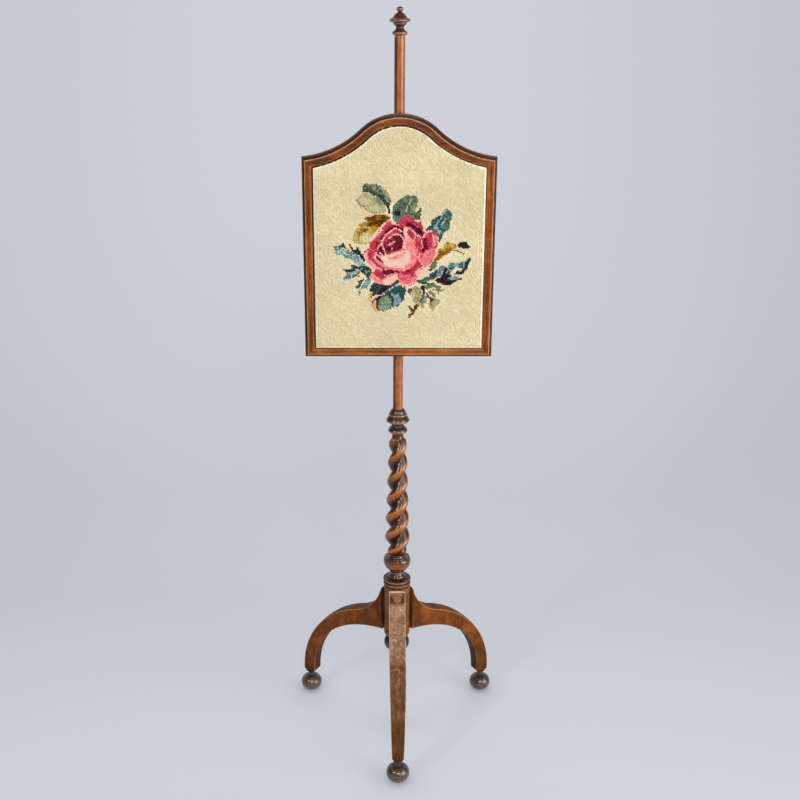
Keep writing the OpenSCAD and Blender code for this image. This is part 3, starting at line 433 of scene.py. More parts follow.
finialTurning = dict(sides=96, step=0.35, paintedShade=0.4, rim=0.5, shape="""
    0.3,1423.4 3.3,1423.4 | 3.9,1424.2 | 3.9,1448.4 | 9.9,1448.4 | 10,1449.9 | 11.6,1450.2 13.8,1451.6
    14.6,1453.8 13.9,1456 12.4,1457.2 | 10.6,1458.6 8.2,1460.8 7.1,1463.2 8.2,1465.6 11,1468 12.7,1470.4
    13,1472 | 16.4,1472.6 18.8,1473.8 19.8,1475.8 18.9,1478 16,1479.6 | 13.4,1481.6 11,1484.4 8.4,1487.2
    5.8,1489.2 4,1490.2 3.5,1490.8 | 5,1491.9 6.2,1494.2 6.2,1496.4 4.8,1498.7 2.4,1499.8 0.3,1500""")
turnPiece("finialTurning", finialWood, "finial", ["finial"], "turned_wood", **finialTurning)

# the pole's upper end has the finial's bore
poleRod = dict(sides=72, step=6, paintedShade=0.0, rim=0.1, shape="""
    10,717.2 10,740 | 10,1446.5 | 10,1447.2 | 9.4,1448.1 | 4.1,1448.1 | 4.1,1422.1 | 0.3,1422.1""")
pole = turnPiece("poleRod", poleWood, "stand", ["pole"], "turned_wood", **poleRod)
# painted shade on the pole's left, and less on its far right
poleShade = dict(left=(0.3, 0.75), right=(0.86, 1.0), rightDepth=0.5)
facing = np.cos(np.linspace(0, 2 * math.pi, poleRod["sides"], endpoint=False))
poleShadeMask = easeIn(-facing, *poleShade["left"]) + poleShade["rightDepth"] * easeIn(facing, *poleShade["right"])
poleShadeMask = np.tile(poleShadeMask, len(pole.data.vertices) // len(facing))
pole.data.attributes["grime"].data.foreach_set("value", poleShadeMask)

legBlock = dict(step=0.6, stain=((208.0, 328.0, 0.12), (328.0, 348.0, 1.0)), shape="""
    20.5,208 22.6,208.3 25.4,210 27.2,213 28,217.2 | 28,327.6 | 26.4,328.6 26.2,330.4 27,331.6 |
    28.6,332.6 29.2,334.6 28.6,336.6 27,337.6 | 26.4,338.8 27,340 | 28.8,340.9 29.5,343 29.2,345 28,346 |
    25,345.6 22.6,345.7 | 21.6,346.6 19.8,346.7 | 18,347.4 14,347.8""")
turnPiece("legBlock", blockWood, "stand", ["leg_block"], "leg_wood", **legBlock)

pendantTurning = dict(sides=96, paintedShade=0.3, shape="""
    0.4,168 8,168.9 16,172 22.6,177.4 26.6,184.2 27.5,190 26,197 22.4,202 19.4,204 | 20.2,206.2 20.8,208""")
turnPiece("pendantTurning", pendantWood, "stand", ["pendant_drop"], "dark_wood", **pendantTurning)

stance = dict(front=270, left=150, right=30)
footReach = 226
bunFoot = dict(sides=80, paintedShade=0.25, stain=((0.0, 7.0, 0.6), (35.0, 46.5, 0.9)), shape="""
    5.5,0 9.5,0.8 15,3.4 20.2,8.4 23.2,14.6 23.7,19.4 22.6,25.2 19.4,30.6 14.6,34.4 9.2,36.3 7,36.9 |
    6.6,40 6.6,46""")
for label, angle in stance.items():
    spot = (footReach * math.cos(math.radians(angle)), footReach * math.sin(math.radians(angle)))
    turnPiece(label + "BunFoot", footWood, "stand", ["foot_" + label], "dark_wood", at=spot, **bunFoot)
print("turned pieces made")

# the twist column: ball, collar, and the two strands between them
columnBall = dict(
    step=0.45, rim=0.45,
    stain=((347.0, 364.9, 1.0), (365.0, 376.0, 0.35), (389.5, 393.5, 0.45), (393.6, 403.0, 1.0)),
    shape="""
    16.6,347.4 17,349.4 16,352 14,354.4 13.2,356.6 | 14.8,357.6 15.4,359.4 14.8,361.2 13.4,362.2 |
    13.6,363.4 16,364.8 | 20.6,367.8 25,372.6 28,378.8 29,385 28.4,390.6 27.4,393.4 | 26.2,394.4 24,394
    22.2,393.8 | 21.6,395.2 20.2,395.6 19.2,395 | 17.4,395.8 16.2,398 15.7,400.4 15.9,402.6""")
columnCollar = dict(step=0.45, paintedShade=0.5, rim=1.0, shape="""
    12.6,663.6 11.8,667 11.5,671.6 | 12.4,673.8 15.6,675.4 18.6,677 19.8,679.2 19.5,681.6 17.4,685.2
    14.2,688.4 12.7,690.6 | 12.8,693.6 14.4,695.4 18.6,697.4 22.4,699.4 23.7,701.6 23.3,704 21.4,707.4
    19,710.8 | 17.9,711.8 17.8,712.6 | 18.6,713.6 18.8,715.2 18,716.8 16.6,717.6 | 16.2,718.4 16,719.8
    14.8,722.8 12.6,725.6 11,726.6 | 10.1,726.2""")
turnPiece("columnBall", ballWood, "stand", ["twist_column"], "turned_wood", **columnBall)
turnPiece("columnCollar", darkTurnedWood, "stand", ["twist_column"], "turned_wood", **columnCollar)

# painted shade and a painted highlight run across a strand, from its upper valley to its lower one
twist = dict(low=402.6, high=663.6, rLow=27.4, rHigh=18.4, lead=84.0, ahead=3.0, strand=0.64, seat=15.5,
             neck=12.2, runLow=34.0, runHigh=14.0, sides=96, rings=430,
             shade=([-1.57, -1.25, -0.95, -0.6, -0.42, -0.3, 0.45, 0.7, 0.9, 1.57],
                    [1, 1, 0.88, 0.74, 0.56, 0.04, 0.14, 0.6, 1, 1]),
             paintedHighlight=([-0.42, -0.34, -0.28, -0.2, 0.3, 0.55], [0.0, 0.8, 0.8, 0.3, 0.1, 0.0]))
z = np.linspace(0, twist["high"] - twist["low"], twist["rings"])
full = twist["rLow"] + (twist["rHigh"] - twist["rLow"]) * z / z[-1]
lowIn = np.clip(1 - z / twist["runLow"], 0, 1)
highIn = np.clip(1 - (z[-1] - z) / twist["runHigh"], 0, 1)
radius = full - (twist["rLow"] - twist["seat"]) * (1 - np.sqrt(1 - lowIn**2))
radius -= (twist["rHigh"] - twist["neck"]) * (1 - np.sqrt(1 - highIn**2))
a = np.linspace(0, 2 * math.pi, twist["sides"], endpoint=False)
gap = 1 - twist["strand"]
lobe = gap * np.abs(np.cos(a)) + np.sqrt(twist["strand"]**2 - (gap * np.sin(a))**2)
angle = a + 2 * math.pi * (z[:, None] + twist["ahead"]) / twist["lead"]
r = radius[:, None] * lobe
pts = np.stack([r * np.cos(angle), r * np.sin(angle) + poleAt,
                np.repeat((z + twist["low"])[:, None], len(a), 1)], axis=-1).reshape(-1, 3)
side = (a + math.pi / 2) % math.pi - math.pi / 2
# painted shade in the valleys and on the upper faces; a painted highlight on the lit lower face and along the
# crest
twistShade, twistHighlight = [np.tile(np.interp(side, *twist[key]), len(z)) for key in ("shade", "paintedHighlight")]
twistPart = addPiece("twistStrands", pts, gridFaces(len(z), len(a), True), "stand", ["twist_column"],
                     twistHighlight, twistShade, sharp=60)
polish(twistPart, turnedWood)
print("column made")

# legs: a tapering section carried along the sweep; circles are [centre out, centre up, radius]; the face
# under the arch gets a painted shade
leg = dict(rings=150, fillet=(118, 337.1, 90), filletEnd=254.2, arc=(39.5, 60, 198), arcStart=74.2,
           ledgeFade=60, arch=(28, 60, 180.5, 160), archPower=2 / 2.2, archTop=(27.0, 220.0),
           ankleOut=(237.5, 237.1), ankleIn=(208.5, 209.0), soft=0.8, endZ=46.0, cutZ=57.0, halfTop=17.25,
           halfAnkle=12.5, halfEnd=7.4, taper=140, edge=1.3, crown=1.2, cap=2.6, underShade=0.85)
corner = [(math.cos(math.radians(t)), math.sin(math.radians(t))) for t in (25, 50, 75)]


def legCurves(top, ledge):
    fx, fz, fr = leg["fillet"]
    ax, az, ar = leg["arc"]
    ix, iz, wide, tall = leg["arch"]
    start, join = math.pi + math.asin((fz - top) / fr), math.radians(leg["filletEnd"])
    turns = [start + (join - start) * t for t in np.linspace(0, 1, 60)]
    outer = [(fx + fr * math.cos(x), fz + fr * math.sin(x)) for x in turns]
    turns = np.linspace(math.radians(leg["arcStart"]), 0, 140)[1:]
    outer = np.array(outer + [(ax + ar * math.cos(x), az + ar * math.sin(x)) for x in turns])
    outer[:, 0] += ledge * (1 - easeIn(top - outer[:, 1], 0, leg["ledgeFade"]))
    t = np.linspace(0, math.pi / 2, 200)
    power = leg["archPower"]
    inner = np.stack([ix + wide * np.sin(t) ** power, iz + tall * np.cos(t) ** power], 1)

    def withAnkle(line, ankle, end):
        d = lengthAlong(line)
        q = np.linspace(0, d[-1], leg["rings"])
        low, high = leg["cutZ"] - leg["soft"], leg["cutZ"] + leg["soft"]
        return np.vstack([np.stack([np.interp(q, d, line[:, 0]), np.interp(q, d, line[:, 1])], 1),
                          [(ankle[0], high), (ankle[1], low), (end, leg["endZ"])]])

    outer = withAnkle(outer, leg["ankleOut"], footReach + leg["halfEnd"])
    inner = withAnkle(inner, leg["ankleIn"], footReach - leg["halfEnd"])
    inner[0] = leg["archTop"]
    return outer, inner


def halfThick(zz):
    up = (zz - leg["cutZ"]) / leg["taper"]
    down = (zz - leg["endZ"]) / (leg["cutZ"] - leg["endZ"])
    main = leg["halfAnkle"] + (leg["halfTop"] - leg["halfAnkle"]) * np.clip(up, 0, 1)
    low = leg["halfEnd"] + (leg["halfAnkle"] - leg["halfEnd"]) * np.clip(down, 0, 1)
    return np.where(zz < leg["cutZ"], low, main)


# darkening and wear on a leg as [starts at, full at, depth]; heights, but hub is a distance out from the
# pole; hub paints shade near the block, arris wear is partly a painted highlight line and the scuffs partly a
# painted sheen
legShadeAndWear = dict(ankle=(170, 60, 0.55), foot=(64, 52, 0.3), hub=(80, 34, 0.4), rim=0.25, most=0.9, inVee=0.25,
              face=(245, 198, 0.93), faceLow=(178, 140, 0.07), streaks=(128, 165, 0.22), streakLeast=0.06,
              arris=(200, 90, 0.75), innerArris=0.5, scuffAndSheenLow=(232, 262), scuffAndSheenHigh=(286, 301), scuffAndSheen=0.1)


# vee is the length of the cut at the top of the front leg; low and crest darken the outer face
def buildLeg(label, mat, top, ledge, vee=0.0, low=0.0, crest=0.0):
    e, crown = leg["edge"], leg["crown"]

    def below(height, key):
        start, full, depth = legShadeAndWear[key]
        return depth * float(easeIn(-height, -start, -full))

    # the flank darkens towards the ankle and foot and along its edges, and takes a painted shade near the hub
    def flankDarkening(reach, height, f):
        ankle = below(height, "ankle") + below(height, "foot")
        return min(legShadeAndWear["most"], max(ankle, below(reach, "hub")) + legShadeAndWear["rim"] * (2 * f - 1)**4)

    def faceDarkening(x, height):
        start, full, depth = legShadeAndWear["streaks"]
        worn = 0.5 + 0.5 * math.sin(7 * x + 1.6 * math.sin(height / 23) + 0.9 * math.sin(height / 7))
        streaks = depth * float(easeIn(height, start, full)) * worn + legShadeAndWear["streakLeast"] * worn
        return crest + low * (below(height, "face") + below(height, "faceLow")) * (1 - streaks)

    # pale wear along the arrises, partly a painted highlight line
    def arrisWearAndHighlight(height):
        return 1.0 if vee else 1 - below(height, "arris")

    # pale scuffs on the front leg below its cut, partly a painted sheen
    def scuffAndSheen(height):
        fade = easeIn(height, *legShadeAndWear["scuffAndSheenLow"]) * (1 - easeIn(height, *legShadeAndWear["scuffAndSheenHigh"]))
        return legShadeAndWear["scuffAndSheen"] * float(fade) if vee else 0.0

    rings = []
    for o, i in zip(*legCurves(top, ledge)):
        d = (o - i) / np.linalg.norm(o - i)
        ho, hi = halfThick(o[1]), halfThick(i[1])
        down = top - o[1]
        face, flank = [], []
        for x in np.linspace(-1, 1, 21):  # the outer face with its faint crown
            lift = crown * (1 - x * x)
            cut = crown * down / vee if vee else crown
            inVee = vee and cut < lift
            onCap = vee and down < leg["cap"]
            wear = 1.0 if onCap else 0.0 if inVee else scuffAndSheen(o[1])
            darkening = faceDarkening(x, o[1])
            if vee and leg["cap"] <= down < vee:
                darkening = legShadeAndWear["inVee"] if inVee else 1.0
            face.append((o + d * (min(lift, cut) - crown * 0.5), x * (ho - e), wear, darkening))
        for c, s in corner:
            flank.append((o - d * (e * (1 - c) + crown * 0.5), ho - e + e * s, arrisWearAndHighlight(o[1]), 0.0))
        for f in np.linspace(0.05, 0.95, 9):
            p = o - d * (e + crown * 0.5) + (i - o + d * 2 * e) * f
            flank.append((p, ho + (hi - ho) * f, 0.0, flankDarkening(p[0], p[1], f)))
        for c, s in corner[::-1]:
            flank.append((i + d * (e * (1 - c)), hi - e + e * s, legShadeAndWear["innerArris"] * arrisWearAndHighlight(i[1]), 0.0))
        # painted shade on the face under the arch
        under = [(i, x * (hi - e), 0.0, leg["underShade"]) for x in (0.8, 0.4, 0, -0.4, -0.8)]
        other = [(p, -n, wear, darkening) for p, n, wear, darkening in flank[::-1]]
        rings.append([(p[0], n, p[1], wear, darkening) for p, n, wear, darkening in face + flank + under + other])
    s, n, zz, wear, darkening = np.moveaxis(np.array(rings), -1, 0)
    ca, sa = math.cos(math.radians(stance[label])), math.sin(math.radians(stance[label]))
    pts = np.stack([s * ca - n * sa, s * sa + n * ca + poleAt, zz], -1).reshape(-1, 3)
    ob = addPiece(label + "SabreLeg", pts, tubeFaces(*s.shape), "stand", ["leg_" + label],
                  wear.ravel(), darkening.ravel())
    polish(ob, mat)


buildLeg("front", frontLegSheenWood, top=327.6, ledge=2.2, vee=27.0, low=0.98)
for label in ("left", "right"):
    buildLeg(label, sideLegWood, top=317.0, ledge=0.6, crest=0.65)
print("legs made")

# the screen's frame: four mitred lengths of one moulding; shoulder and crown are circles of the top rail
rail = dict(face=23.5, halfW=184.0, low=845.1, stile=19.5, top=21.5, bottom=17.0, step=(5.0, 7.4),
            lip=(16, 19.6, 14), shoulder=(202.0, 1420.74, 188.0), crown=(1204.37, 108.0), turn=46.97, rows=41)
# the moulding of a stile: [distance in from the edge, depth back from the face, wear with painted highlights
# on the arrises, grime with painted shade in the outer cove and along the inner sight edge]
moulding = np.array([
    (0.0, 17.7, 0.2, 0.5), (0.0, 12.0, 0.0, 0.5), (0.0, 6.0, 0.1, 0.7), (0.25, 5.3, 0.3, 0.6),
    (0.8, 5.0, 0.1, 0.85), (2.0, 5.0, 0.0, 1.0), (3.0, 5.0, 0.0, 1.0), (3.7, 4.6, 0.0, 1.0),
    (4.4, 3.6, 0.0, 0.9), (4.8, 2.4, 0.0, 0.6), (5.0, 1.2, 0.3, 0.2), (5.0, 0.7, 0.9, 0.0),
    (5.2, 0.3, 1.0, 0.0), (5.6, 0.08, 0.9, 0.0), (6.3, 0.0, 0.25, 0.0), (8.5, -0.12, 0.0, 0.0),
    (11.5, -0.15, 0.0, 0.0), (14.5, -0.05, 0.0, 0.0), (16.6, 0.15, 0.1, 0.05), (17.4, 0.35, 0.35, 0.1),
    (18.0, 0.8, 0.2, 0.3), (18.8, 1.5, 0.0, 0.6), (19.4, 2.2, 0.0, 0.9), (19.5, 3.0, 0.0, 1.0),
    (19.5, 13.0, 0.0, 1.0), (33.5, 13.0, 0.0, 0.8), (33.5, 17.7, 0.1, 0.5), (20.0, 17.7, 0.0, 0.3),
    (8.0, 17.7, 0.0, 0.3)])
inward, depth, railWearAndHighlight, railGrimeAndShade = moulding.T
lipLow, lipHigh, lipDepth = rail["lip"]
# the band along the inner sight edge that takes the painted shadow
inSightShadow = (inward > lipLow) & (inward < lipHigh) & (depth < lipDepth)
overLedge = np.maximum(inward - rail["stile"], 0)
onFace = np.minimum(inward, rail["stile"])
stepIn, stepTop = rail["step"]
uTop = np.interp(onFace, [0, stepIn, rail["stile"]], [0, stepTop, rail["top"]]) + overLedge
cornerX = rail["halfW"] - inward
lowZ = rail["low"] + onFace * rail["bottom"] / rail["stile"] + overLedge
sx, sz, sr = rail["shoulder"]
crownZ, crownR = rail["crown"]
highZ = sz - np.sqrt((sr + uTop)**2 - (sx - cornerX)**2)


# the last argument scales the painted shadow along the inner sight edge: deepest on the left stile, faintest
# on the right
def railPiece(name, x, zz, part, mat, flip, lip):
    rows, cols = x.shape
    pts = np.stack([x, np.repeat((rail["face"] + depth)[None, :], rows, 0), zz], -1).reshape(-1, 3)
    faces = gridFaces(rows, cols, True, flip=flip)
    ends = [tuple(range(cols)), tuple((rows - 1) * cols + j for j in range(cols - 1, -1, -1))]
    faces += [e[::-1] for e in ends] if flip else ends
    ob = addPiece(name, pts, faces, "screen", [part], np.tile(railWearAndHighlight, rows),
                  np.tile(np.where(inSightShadow, railGrimeAndShade * lip, railGrimeAndShade), rows), sharp=30)
    polish(ob, mat)


t = np.linspace(0, 1, rail["rows"])[:, None]
stileX, stileZ = np.repeat(cornerX[None, :], rail["rows"], 0), lowZ * (1 - t) + highZ * t
railPiece("rightStile", stileX, stileZ, "right_stile", frameRightLitWood, flip=False, lip=0.2)
railPiece("leftStile", -stileX, stileZ, "left_stile", frameUprightWood, flip=True, lip=0.7)
lowerZ = np.repeat(lowZ[None, :], rail["rows"], 0)
railPiece("bottomRail", cornerX * (2 * t - 1), lowerZ, "bottom_rail", frameLowLitWood, flip=True, lip=0.6)
turn = math.radians(rail["turn"])
startA = np.arctan2(highZ - sz, cornerX - sx) % (2 * math.pi)
shoulderA = startA + (turn + math.pi - startA) * np.linspace(0, 1, 40)[:, None]
shoulderX, shoulderZ = sx + (sr + uTop) * np.cos(shoulderA), sz + (sr + uTop) * np.sin(shoulderA)
crownA = turn + (math.pi - 2 * turn) * np.linspace(0, 1, 64)[1:-1, None]
railX = np.vstack([shoulderX, (crownR - uTop) * np.cos(crownA), -shoulderX[::-1]])
railZ = np.vstack([shoulderZ, crownZ + (crownR - uTop) * np.sin(crownA), shoulderZ[::-1]])
railPiece("topRail", railX, railZ, "top_rail", frameTopShadedWood, flip=False, lip=0.6)
print("frame made")

# the worked panel: canvas drawn over the strainer, coarse stitches round a fine motif
# the panel also holds the colour and reach of a painted shadow along the rolled edge on the left, and the
# dimming of the canvas under the wool as a painted shade
panel = dict(front=21.9, halfW=163.3, low=863.3, crownZ=1204.37, crownR=85.3, shoulderX=202.0,
             shoulderZ=1420.74, shoulderR=210.7, roll=2.6, puff=0.9, puffFull=38, cloth=0.8, turnedBack=32.0,
             bare=(246, 240, 224), paintedShade=(88, 64, 48), shadeUnderWool=0.86, bareTo=(1.8, 4.0), shadowTo=(0.5, 1.4),
             shadowSide=(40, 120), slack=0.3, thinOver=60)
crownReach = panel["crownR"] * math.cos(turn)


def edgeDistance(x, zz):
    ax = np.abs(x)
    crownGap = panel["crownR"] - np.hypot(x, np.maximum(zz - panel["crownZ"], 0))
    shoulderGap = np.hypot(panel["shoulderX"] - ax, zz - panel["shoulderZ"]) - panel["shoulderR"]
    topGap = np.where(ax < crownReach, crownGap, shoulderGap)
    return np.minimum(np.minimum(panel["halfW"] - ax, zz - panel["low"]), topGap)


def panelTop(x):
    ax = np.abs(x)
    crown = panel["crownZ"] + np.sqrt(np.maximum(panel["crownR"]**2 - ax**2, 0))
    aside = panel["shoulderX"] - ax
    shoulder = panel["shoulderZ"] - np.sqrt(np.maximum(panel["shoulderR"]**2 - aside**2, 0))
    return np.where(ax < crownReach, crown, shoulder)


def clothY(x, zz):
    d = np.maximum(edgeDistance(x, zz), 0)
    inRoll = np.minimum(d, panel["roll"])
    back = panel["roll"] - np.sqrt(np.maximum(panel["roll"]**2 - (panel["roll"] - inRoll)**2, 0))
    ripple = 0.18 * np.sin(x / 31.0 + 0.8) * np.sin(zz / 43.0) + 0.1 * np.sin(x / 13.0 - zz / 17.0)
    return panel["front"] + back - (panel["puff"] + ripple) * easeIn(d, 0, panel["puffFull"])


# front and back of the cloth, with its edges turned back over the strainer
edgeSteps = np.array([0, 0.25, 0.7, 1.3, 2.0, 2.8, 4.0])
xs = np.concatenate([-panel["halfW"] + edgeSteps, np.linspace(-157, 157, 90),
                     panel["halfW"] - edgeSteps[::-1]])
gz = np.array([np.concatenate([panel["low"] + edgeSteps, np.linspace(panel["low"] + 6, top - 6, 100),
                               top - edgeSteps[::-1]]) for top in panelTop(xs)]).T
gx = np.repeat(xs[None, :], gz.shape[0], 0)
gy = clothY(gx, gz)
nr, nc = gx.shape
front = np.stack([gx, gy, gz], -1).reshape(-1, 3)
backY = np.maximum(gy + panel["cloth"], panel["front"] + panel["cloth"] - panel["slack"])
fromMid = 0.5 * (panel["low"] + panelTop(gx)) - gz
innerZ = gz + np.sign(fromMid) * panel["cloth"] * np.minimum(1, np.abs(fromMid) / panel["thinOver"])
back = np.stack([gx * (1 - panel["cloth"] / panel["halfW"]), backY, innerZ], -1).reshape(-1, 3)
rim = ([(0, j) for j in range(nc)] + [(i, nc - 1) for i in range(1, nr)]
       + [(nr - 1, j) for j in range(nc - 2, -1, -1)] + [(i, 0) for i in range(nr - 2, 0, -1)])
rimAt = [i * nc + j for i, j in rim]
outerBack, innerBack = front[rimAt], back[rimAt]
outerBack[:, 1] = innerBack[:, 1] = panel["turnedBack"]
n, m = nr * nc, len(rim)
faces = gridFaces(nr, nc, False) + gridFaces(nr, nc, False, start=n, flip=True)
for k in range(m):
    q = (k + 1) % m
    faces.append((rimAt[k], rimAt[q], 2 * n + q, 2 * n + k)[::-1])
    faces.append((n + rimAt[k], n + rimAt[q], 2 * n + m + q, 2 * n + m + k))
    faces.append((2 * n + k, 2 * n + q, 2 * n + m + q, 2 * n + m + k)[::-1])
canvas = addPiece("needleworkCanvas", np.vstack([front, back, outerBack, innerBack]), faces, "screen",
                  ["needlework"], sharp=50)
print("canvas made")

# thread colours; the first one is the ground's
thread = dict(
    cream=(223, 211, 174), white=(240, 230, 204), ink=(30, 36, 38), navy=(48, 60, 73),
    darkGreen=(68, 84, 70), bottle=(44, 74, 75), teal=(90, 126, 120), sky=(138, 166, 170),
    paleBlue=(176, 194, 190), greyGreen=(114, 126, 98), sage=(158, 160, 124), paleSage=(190, 186, 150),
    leaf=(94, 116, 86), olive=(126, 120, 70), paleOlive=(168, 158, 112), gold=(182, 138, 46),
    paleGold=(206, 176, 96), straw=(166, 142, 46), brown=(118, 76, 20), darkBrown=(72, 44, 14),
    rust=(162, 106, 38), peach=(222, 152, 116), deep=(64, 18, 30), maroon=(110, 26, 46),
    crimson=(178, 50, 73), rose=(206, 80, 98), pink=(230, 124, 129), lightPink=(238, 162, 156),
    palePink=(238, 192, 178), blush=(224, 202, 182), petalEdge=(238, 180, 172), slate=(100, 116, 122),
    tan=(202, 186, 152), pale=(231, 214, 184))
names = list(thread)

# drawing sheets: [left, top, units to the square] on the plan of the panel
sheets = dict(whole=(320, 170, 9.8), rose=(360, 212, 19.12), upper=(326, 176, 19.12), right=(400, 196, 16.68),
              left=(326, 236, 19.12), lower=(390, 260, 18.67))
fills = []


# a drawing lists its threads, a /width if it is a stroke and not an area, and its points in tens of units
def work(sheet, drawing):
    x0, y0, k = sheets[sheet]
    for tones, width, marks in re.findall(r"([a-zA-Z ]+)(/\d+)?([\d.\s]+)", drawing):
        spots = np.array([round(10 * float(v)) for v in marks.split()]).reshape(-1, 2)
        fills.append(([names.index(t) for t in tones.split()], int(width[1:]) / k if width else 0,
                      np.array([x0, y0]) + spots / k))


# upper left leaf and its stalk
work("upper", """
greyGreen darkGreen greyGreen sage 70 20 76 13 85 16 94 15 103 18 119 32 125 48 122 56 78 28 71 27
sage greyGreen 99 18 108 23 118 32 123.5 43 118 41 109 31
sage paleSage sage tan 58 43 72 30 82 32 99 39 106 45 113 56 115 68 108 71 96 70 84 67 64 55 59 50
tan paleSage tan 64 44 72 40 84 44 86 52 76 54 66 51
greyGreen sage 90 40 100 40 108 48 110 56 100 56 94 48
paleSage cream 83 58 98 56 104 62 96 68 86 65
sage olive greyGreen /24 59 44 64 54 74 59 79 65 90 70 100 71
ink darkGreen navy /66 72 27 82 27.5 94 33.5 105 40 119.5 58
ink /40 119 58 121 69
white 121.5 56 129 50 129 60 126 86 123 86""")
# upper middle leaf
work("whole", """
darkGreen greyGreen darkGreen 71.5 35 77 29 85 24 94 25 96 30 95 35 99 37 99 43 97.5 49 90 48 72 50 70.5
42
ink darkGreen 71 40 77.5 39 79.5 44 74 45.5
greyGreen leaf sage 89 33 96 35 94 43 88 42
paleSage paleBlue /12 89.2 29 86.2 35 84.2 40
cream 93 39 96.6 35 98 38 94 41.6
teal leaf 72 50 78 46.2 85 44 76 52
leaf darkGreen 91 45 99 42.5 96 49.2""")
# brown and gold leaf
work("upper", """
brown darkBrown rust brown 71 80 78 77 85 78 92 74 104 73 115 74 124 79 120 84 112 88 105 96 79 97 70 88
80 87 76 83
darkBrown brown 109 74 124 79 112 88 104 90
rust gold 62 93 70 88 77 88 78 94 72 98.5 64 97
paleGold gold paleGold paleOlive 52 118 55 106 60 97 68 99 79 98 87 96 104 96 101 101 90 111 78 130 56 129
50 122
straw gold olive 85 97.5 104 96.5 96 104 90 109
tan paleSage cream 63 118 76 108 86 109 85 118 76 127 66 125
brown rust /34 63 113 62.5 109 70 106 79 102 80 96
brown /26 64 103 76 100
paleGold paleOlive 51 119 59 118 64 125 70 130 62 130 53 127""")
# upper leaf on the left
work("left", """
sky slate paleBlue teal 14 22.5 25 21 34 23 44 28.5 56 33 65 39 72 46 77 57 64 56 48 43 36 41 33 36 21 36
18 29
slate sky 50 38 60 38 61 44 52 44
paleBlue /24 47 44 56 50.5 65 56.5
ink bottle ink 13 19 26 18 33 13 40 22 46 28 56 25 66 30 72 46 69 45 64 37 43 27 34 22 24 22.2 15 22
ink /34 45 16 50 24 56 29
ink /34 59 22 66 32
ink /40 69 37 74 46
ink maroon /28 70 36 74 30 81 24""")
# middle leaf on the left
work("left", """
ink darkGreen ink bottle 31 63 46 63 51 59 45 56 54 54 60 58 69 56 79 57 86 62 88 66 83 80 78 80 74 72 68
70 64 66 56 66 42 70
teal sky 73 66 86 64 85 69 76 70
palePink sky /22 57 64.5 69 62
sky teal slate paleBlue 32 84 34 77 42 71 52 67 60 68 54 76 37 85
paleBlue /26 32 89 35 85 45 81.5
ink /26 64 69 56 76 50 79
ink /30 62 76 63 76""")
# lower leaf on the left
work("left", """
teal sky 74 85 80 80 86 79 85 90 80 96 78 101 70 99 66 105 65 113 61 111 62 103
ink darkGreen 53 97 60 94 64 90 60 86 72 82 74 85 64 101 60 99
paleBlue white /20 65 100 69 90 74 85
sky slate 61 106 67 105 66 112 63 113""")
# great leaf below on the left
work("left", """
bottle 118 105 129 98 139 93 148 97 154 101 151 110 149 120 144 126 140 132 128 136 127 131 123 138 114
143 101 143 96 129 100 120
teal sage teal greyGreen 98 132 104 118 115 112 122 115 126 123 124 133 115 143 101 140.5
sky teal sky 129 113 139 108 143 119 143 128 130 134 128 126
teal sky 125 108 129 106 130 113 126 115
bottle ink /30 120 113 127 120 129 126
olive sage 119 124 124 126 121 134
ink /40 104 114 98 123 96 135 99 140
ink bottle ink 83 102 86 93 93 88 100 90 123 93 137 80 140 88 139 92 128 98 106 111 96 111 88 115 85 118
90 108 85 106
slate bottle navy 90 102 100 99 102 104 92 109
deep ink deep 100 106 110 95 121 94 118 101 109 109 101 112
paleBlue teal /22 106 112.5 118 103 129 95.5 138 91
peach paleGold peach 80 117 83 107 90 104 86 118 87 125 96 126 96 137 101 142 95 144 88 137
lightPink peach 86 119 100 111 104 113 88 123
ink deep /32 88.5 125.5 96 119 103 115""")
# upper leaf on the right
work("right", """
teal slate bottle 52 40 69 33 74 21 79 22 84 24 64 77 65 68 50 60
ink bottle darkGreen 42 58 45 52 52 48 53 44 52 40 64 32 69 33 62 42 54 50 56 56 50 60
sky sky teal 55 53 64 40 72 32 74 21 78 23 64 50 69 56 66 64 62 60 61 54
darkGreen teal darkGreen 79 24 84 24 87 31 86 39 83 43 83 54 76 59 70 65 64 77 65 68 69 60 69 52 74 43 78
33
ink bottle /30 77.2 27 74 34 63 50 69 56
paleBlue sky /16 77 31 74 42 69 48
ink bottle 64 70 70 61 69 70 65 77""")
# gold sprig and bud
work("right", """
pale cream pale 60 119 70 105 85 92 101 96 96 108 83 109 74 116
gold straw brown gold 60 100 64 96 62 88 66 86 72 89 74 80 79 76 85 78 92 80 95 85 90 88 85 87 70 100 65
106 57 105
paleGold gold 74 80 85 78.5 93 85 76 85
brown rust /40 59 106.5 68 100.5 80 93 85 89
brown gold /26 85 89 94 90 101 93 106 96
leaf olive greyGreen 50 114 56 108 62 109 60 118 56 122 50 126
navy ink 94 83 98 78 104 76 111 77 114 82 118 84 113 87 104 87""")
# dark leaf on the right
work("right", """
teal slate bottle sky 60 135 62 126 66 116 73 114 75.5 118 70 126 68 134
teal sky bottle sky 77 130 79 119 84 109 93 112 106 109 111 106 106 122 100 119 93 118 87 123 82 131
ink navy ink 111 106 116 101 118 106 114 113 111 121 106 129 96 131 89 130 95 123 101 125 107 119
cream white 88 129 90 124 93 121 96 121 91 129
deep ink deep 67 136 75 119 79 116 77 129 84 130 86 133 78 140
ink deep ink navy 58 139 64 135 70 137 78 136 96 138 95 142 83 148 70 147 62 143
teal sky 80 136 90 133 99 136 96 139 86 140
ink 98 137 103 135 102 139 96 140
navy bottle slate 48 136 49 130 56 126 64 119 64 126 56 139 50 139""")
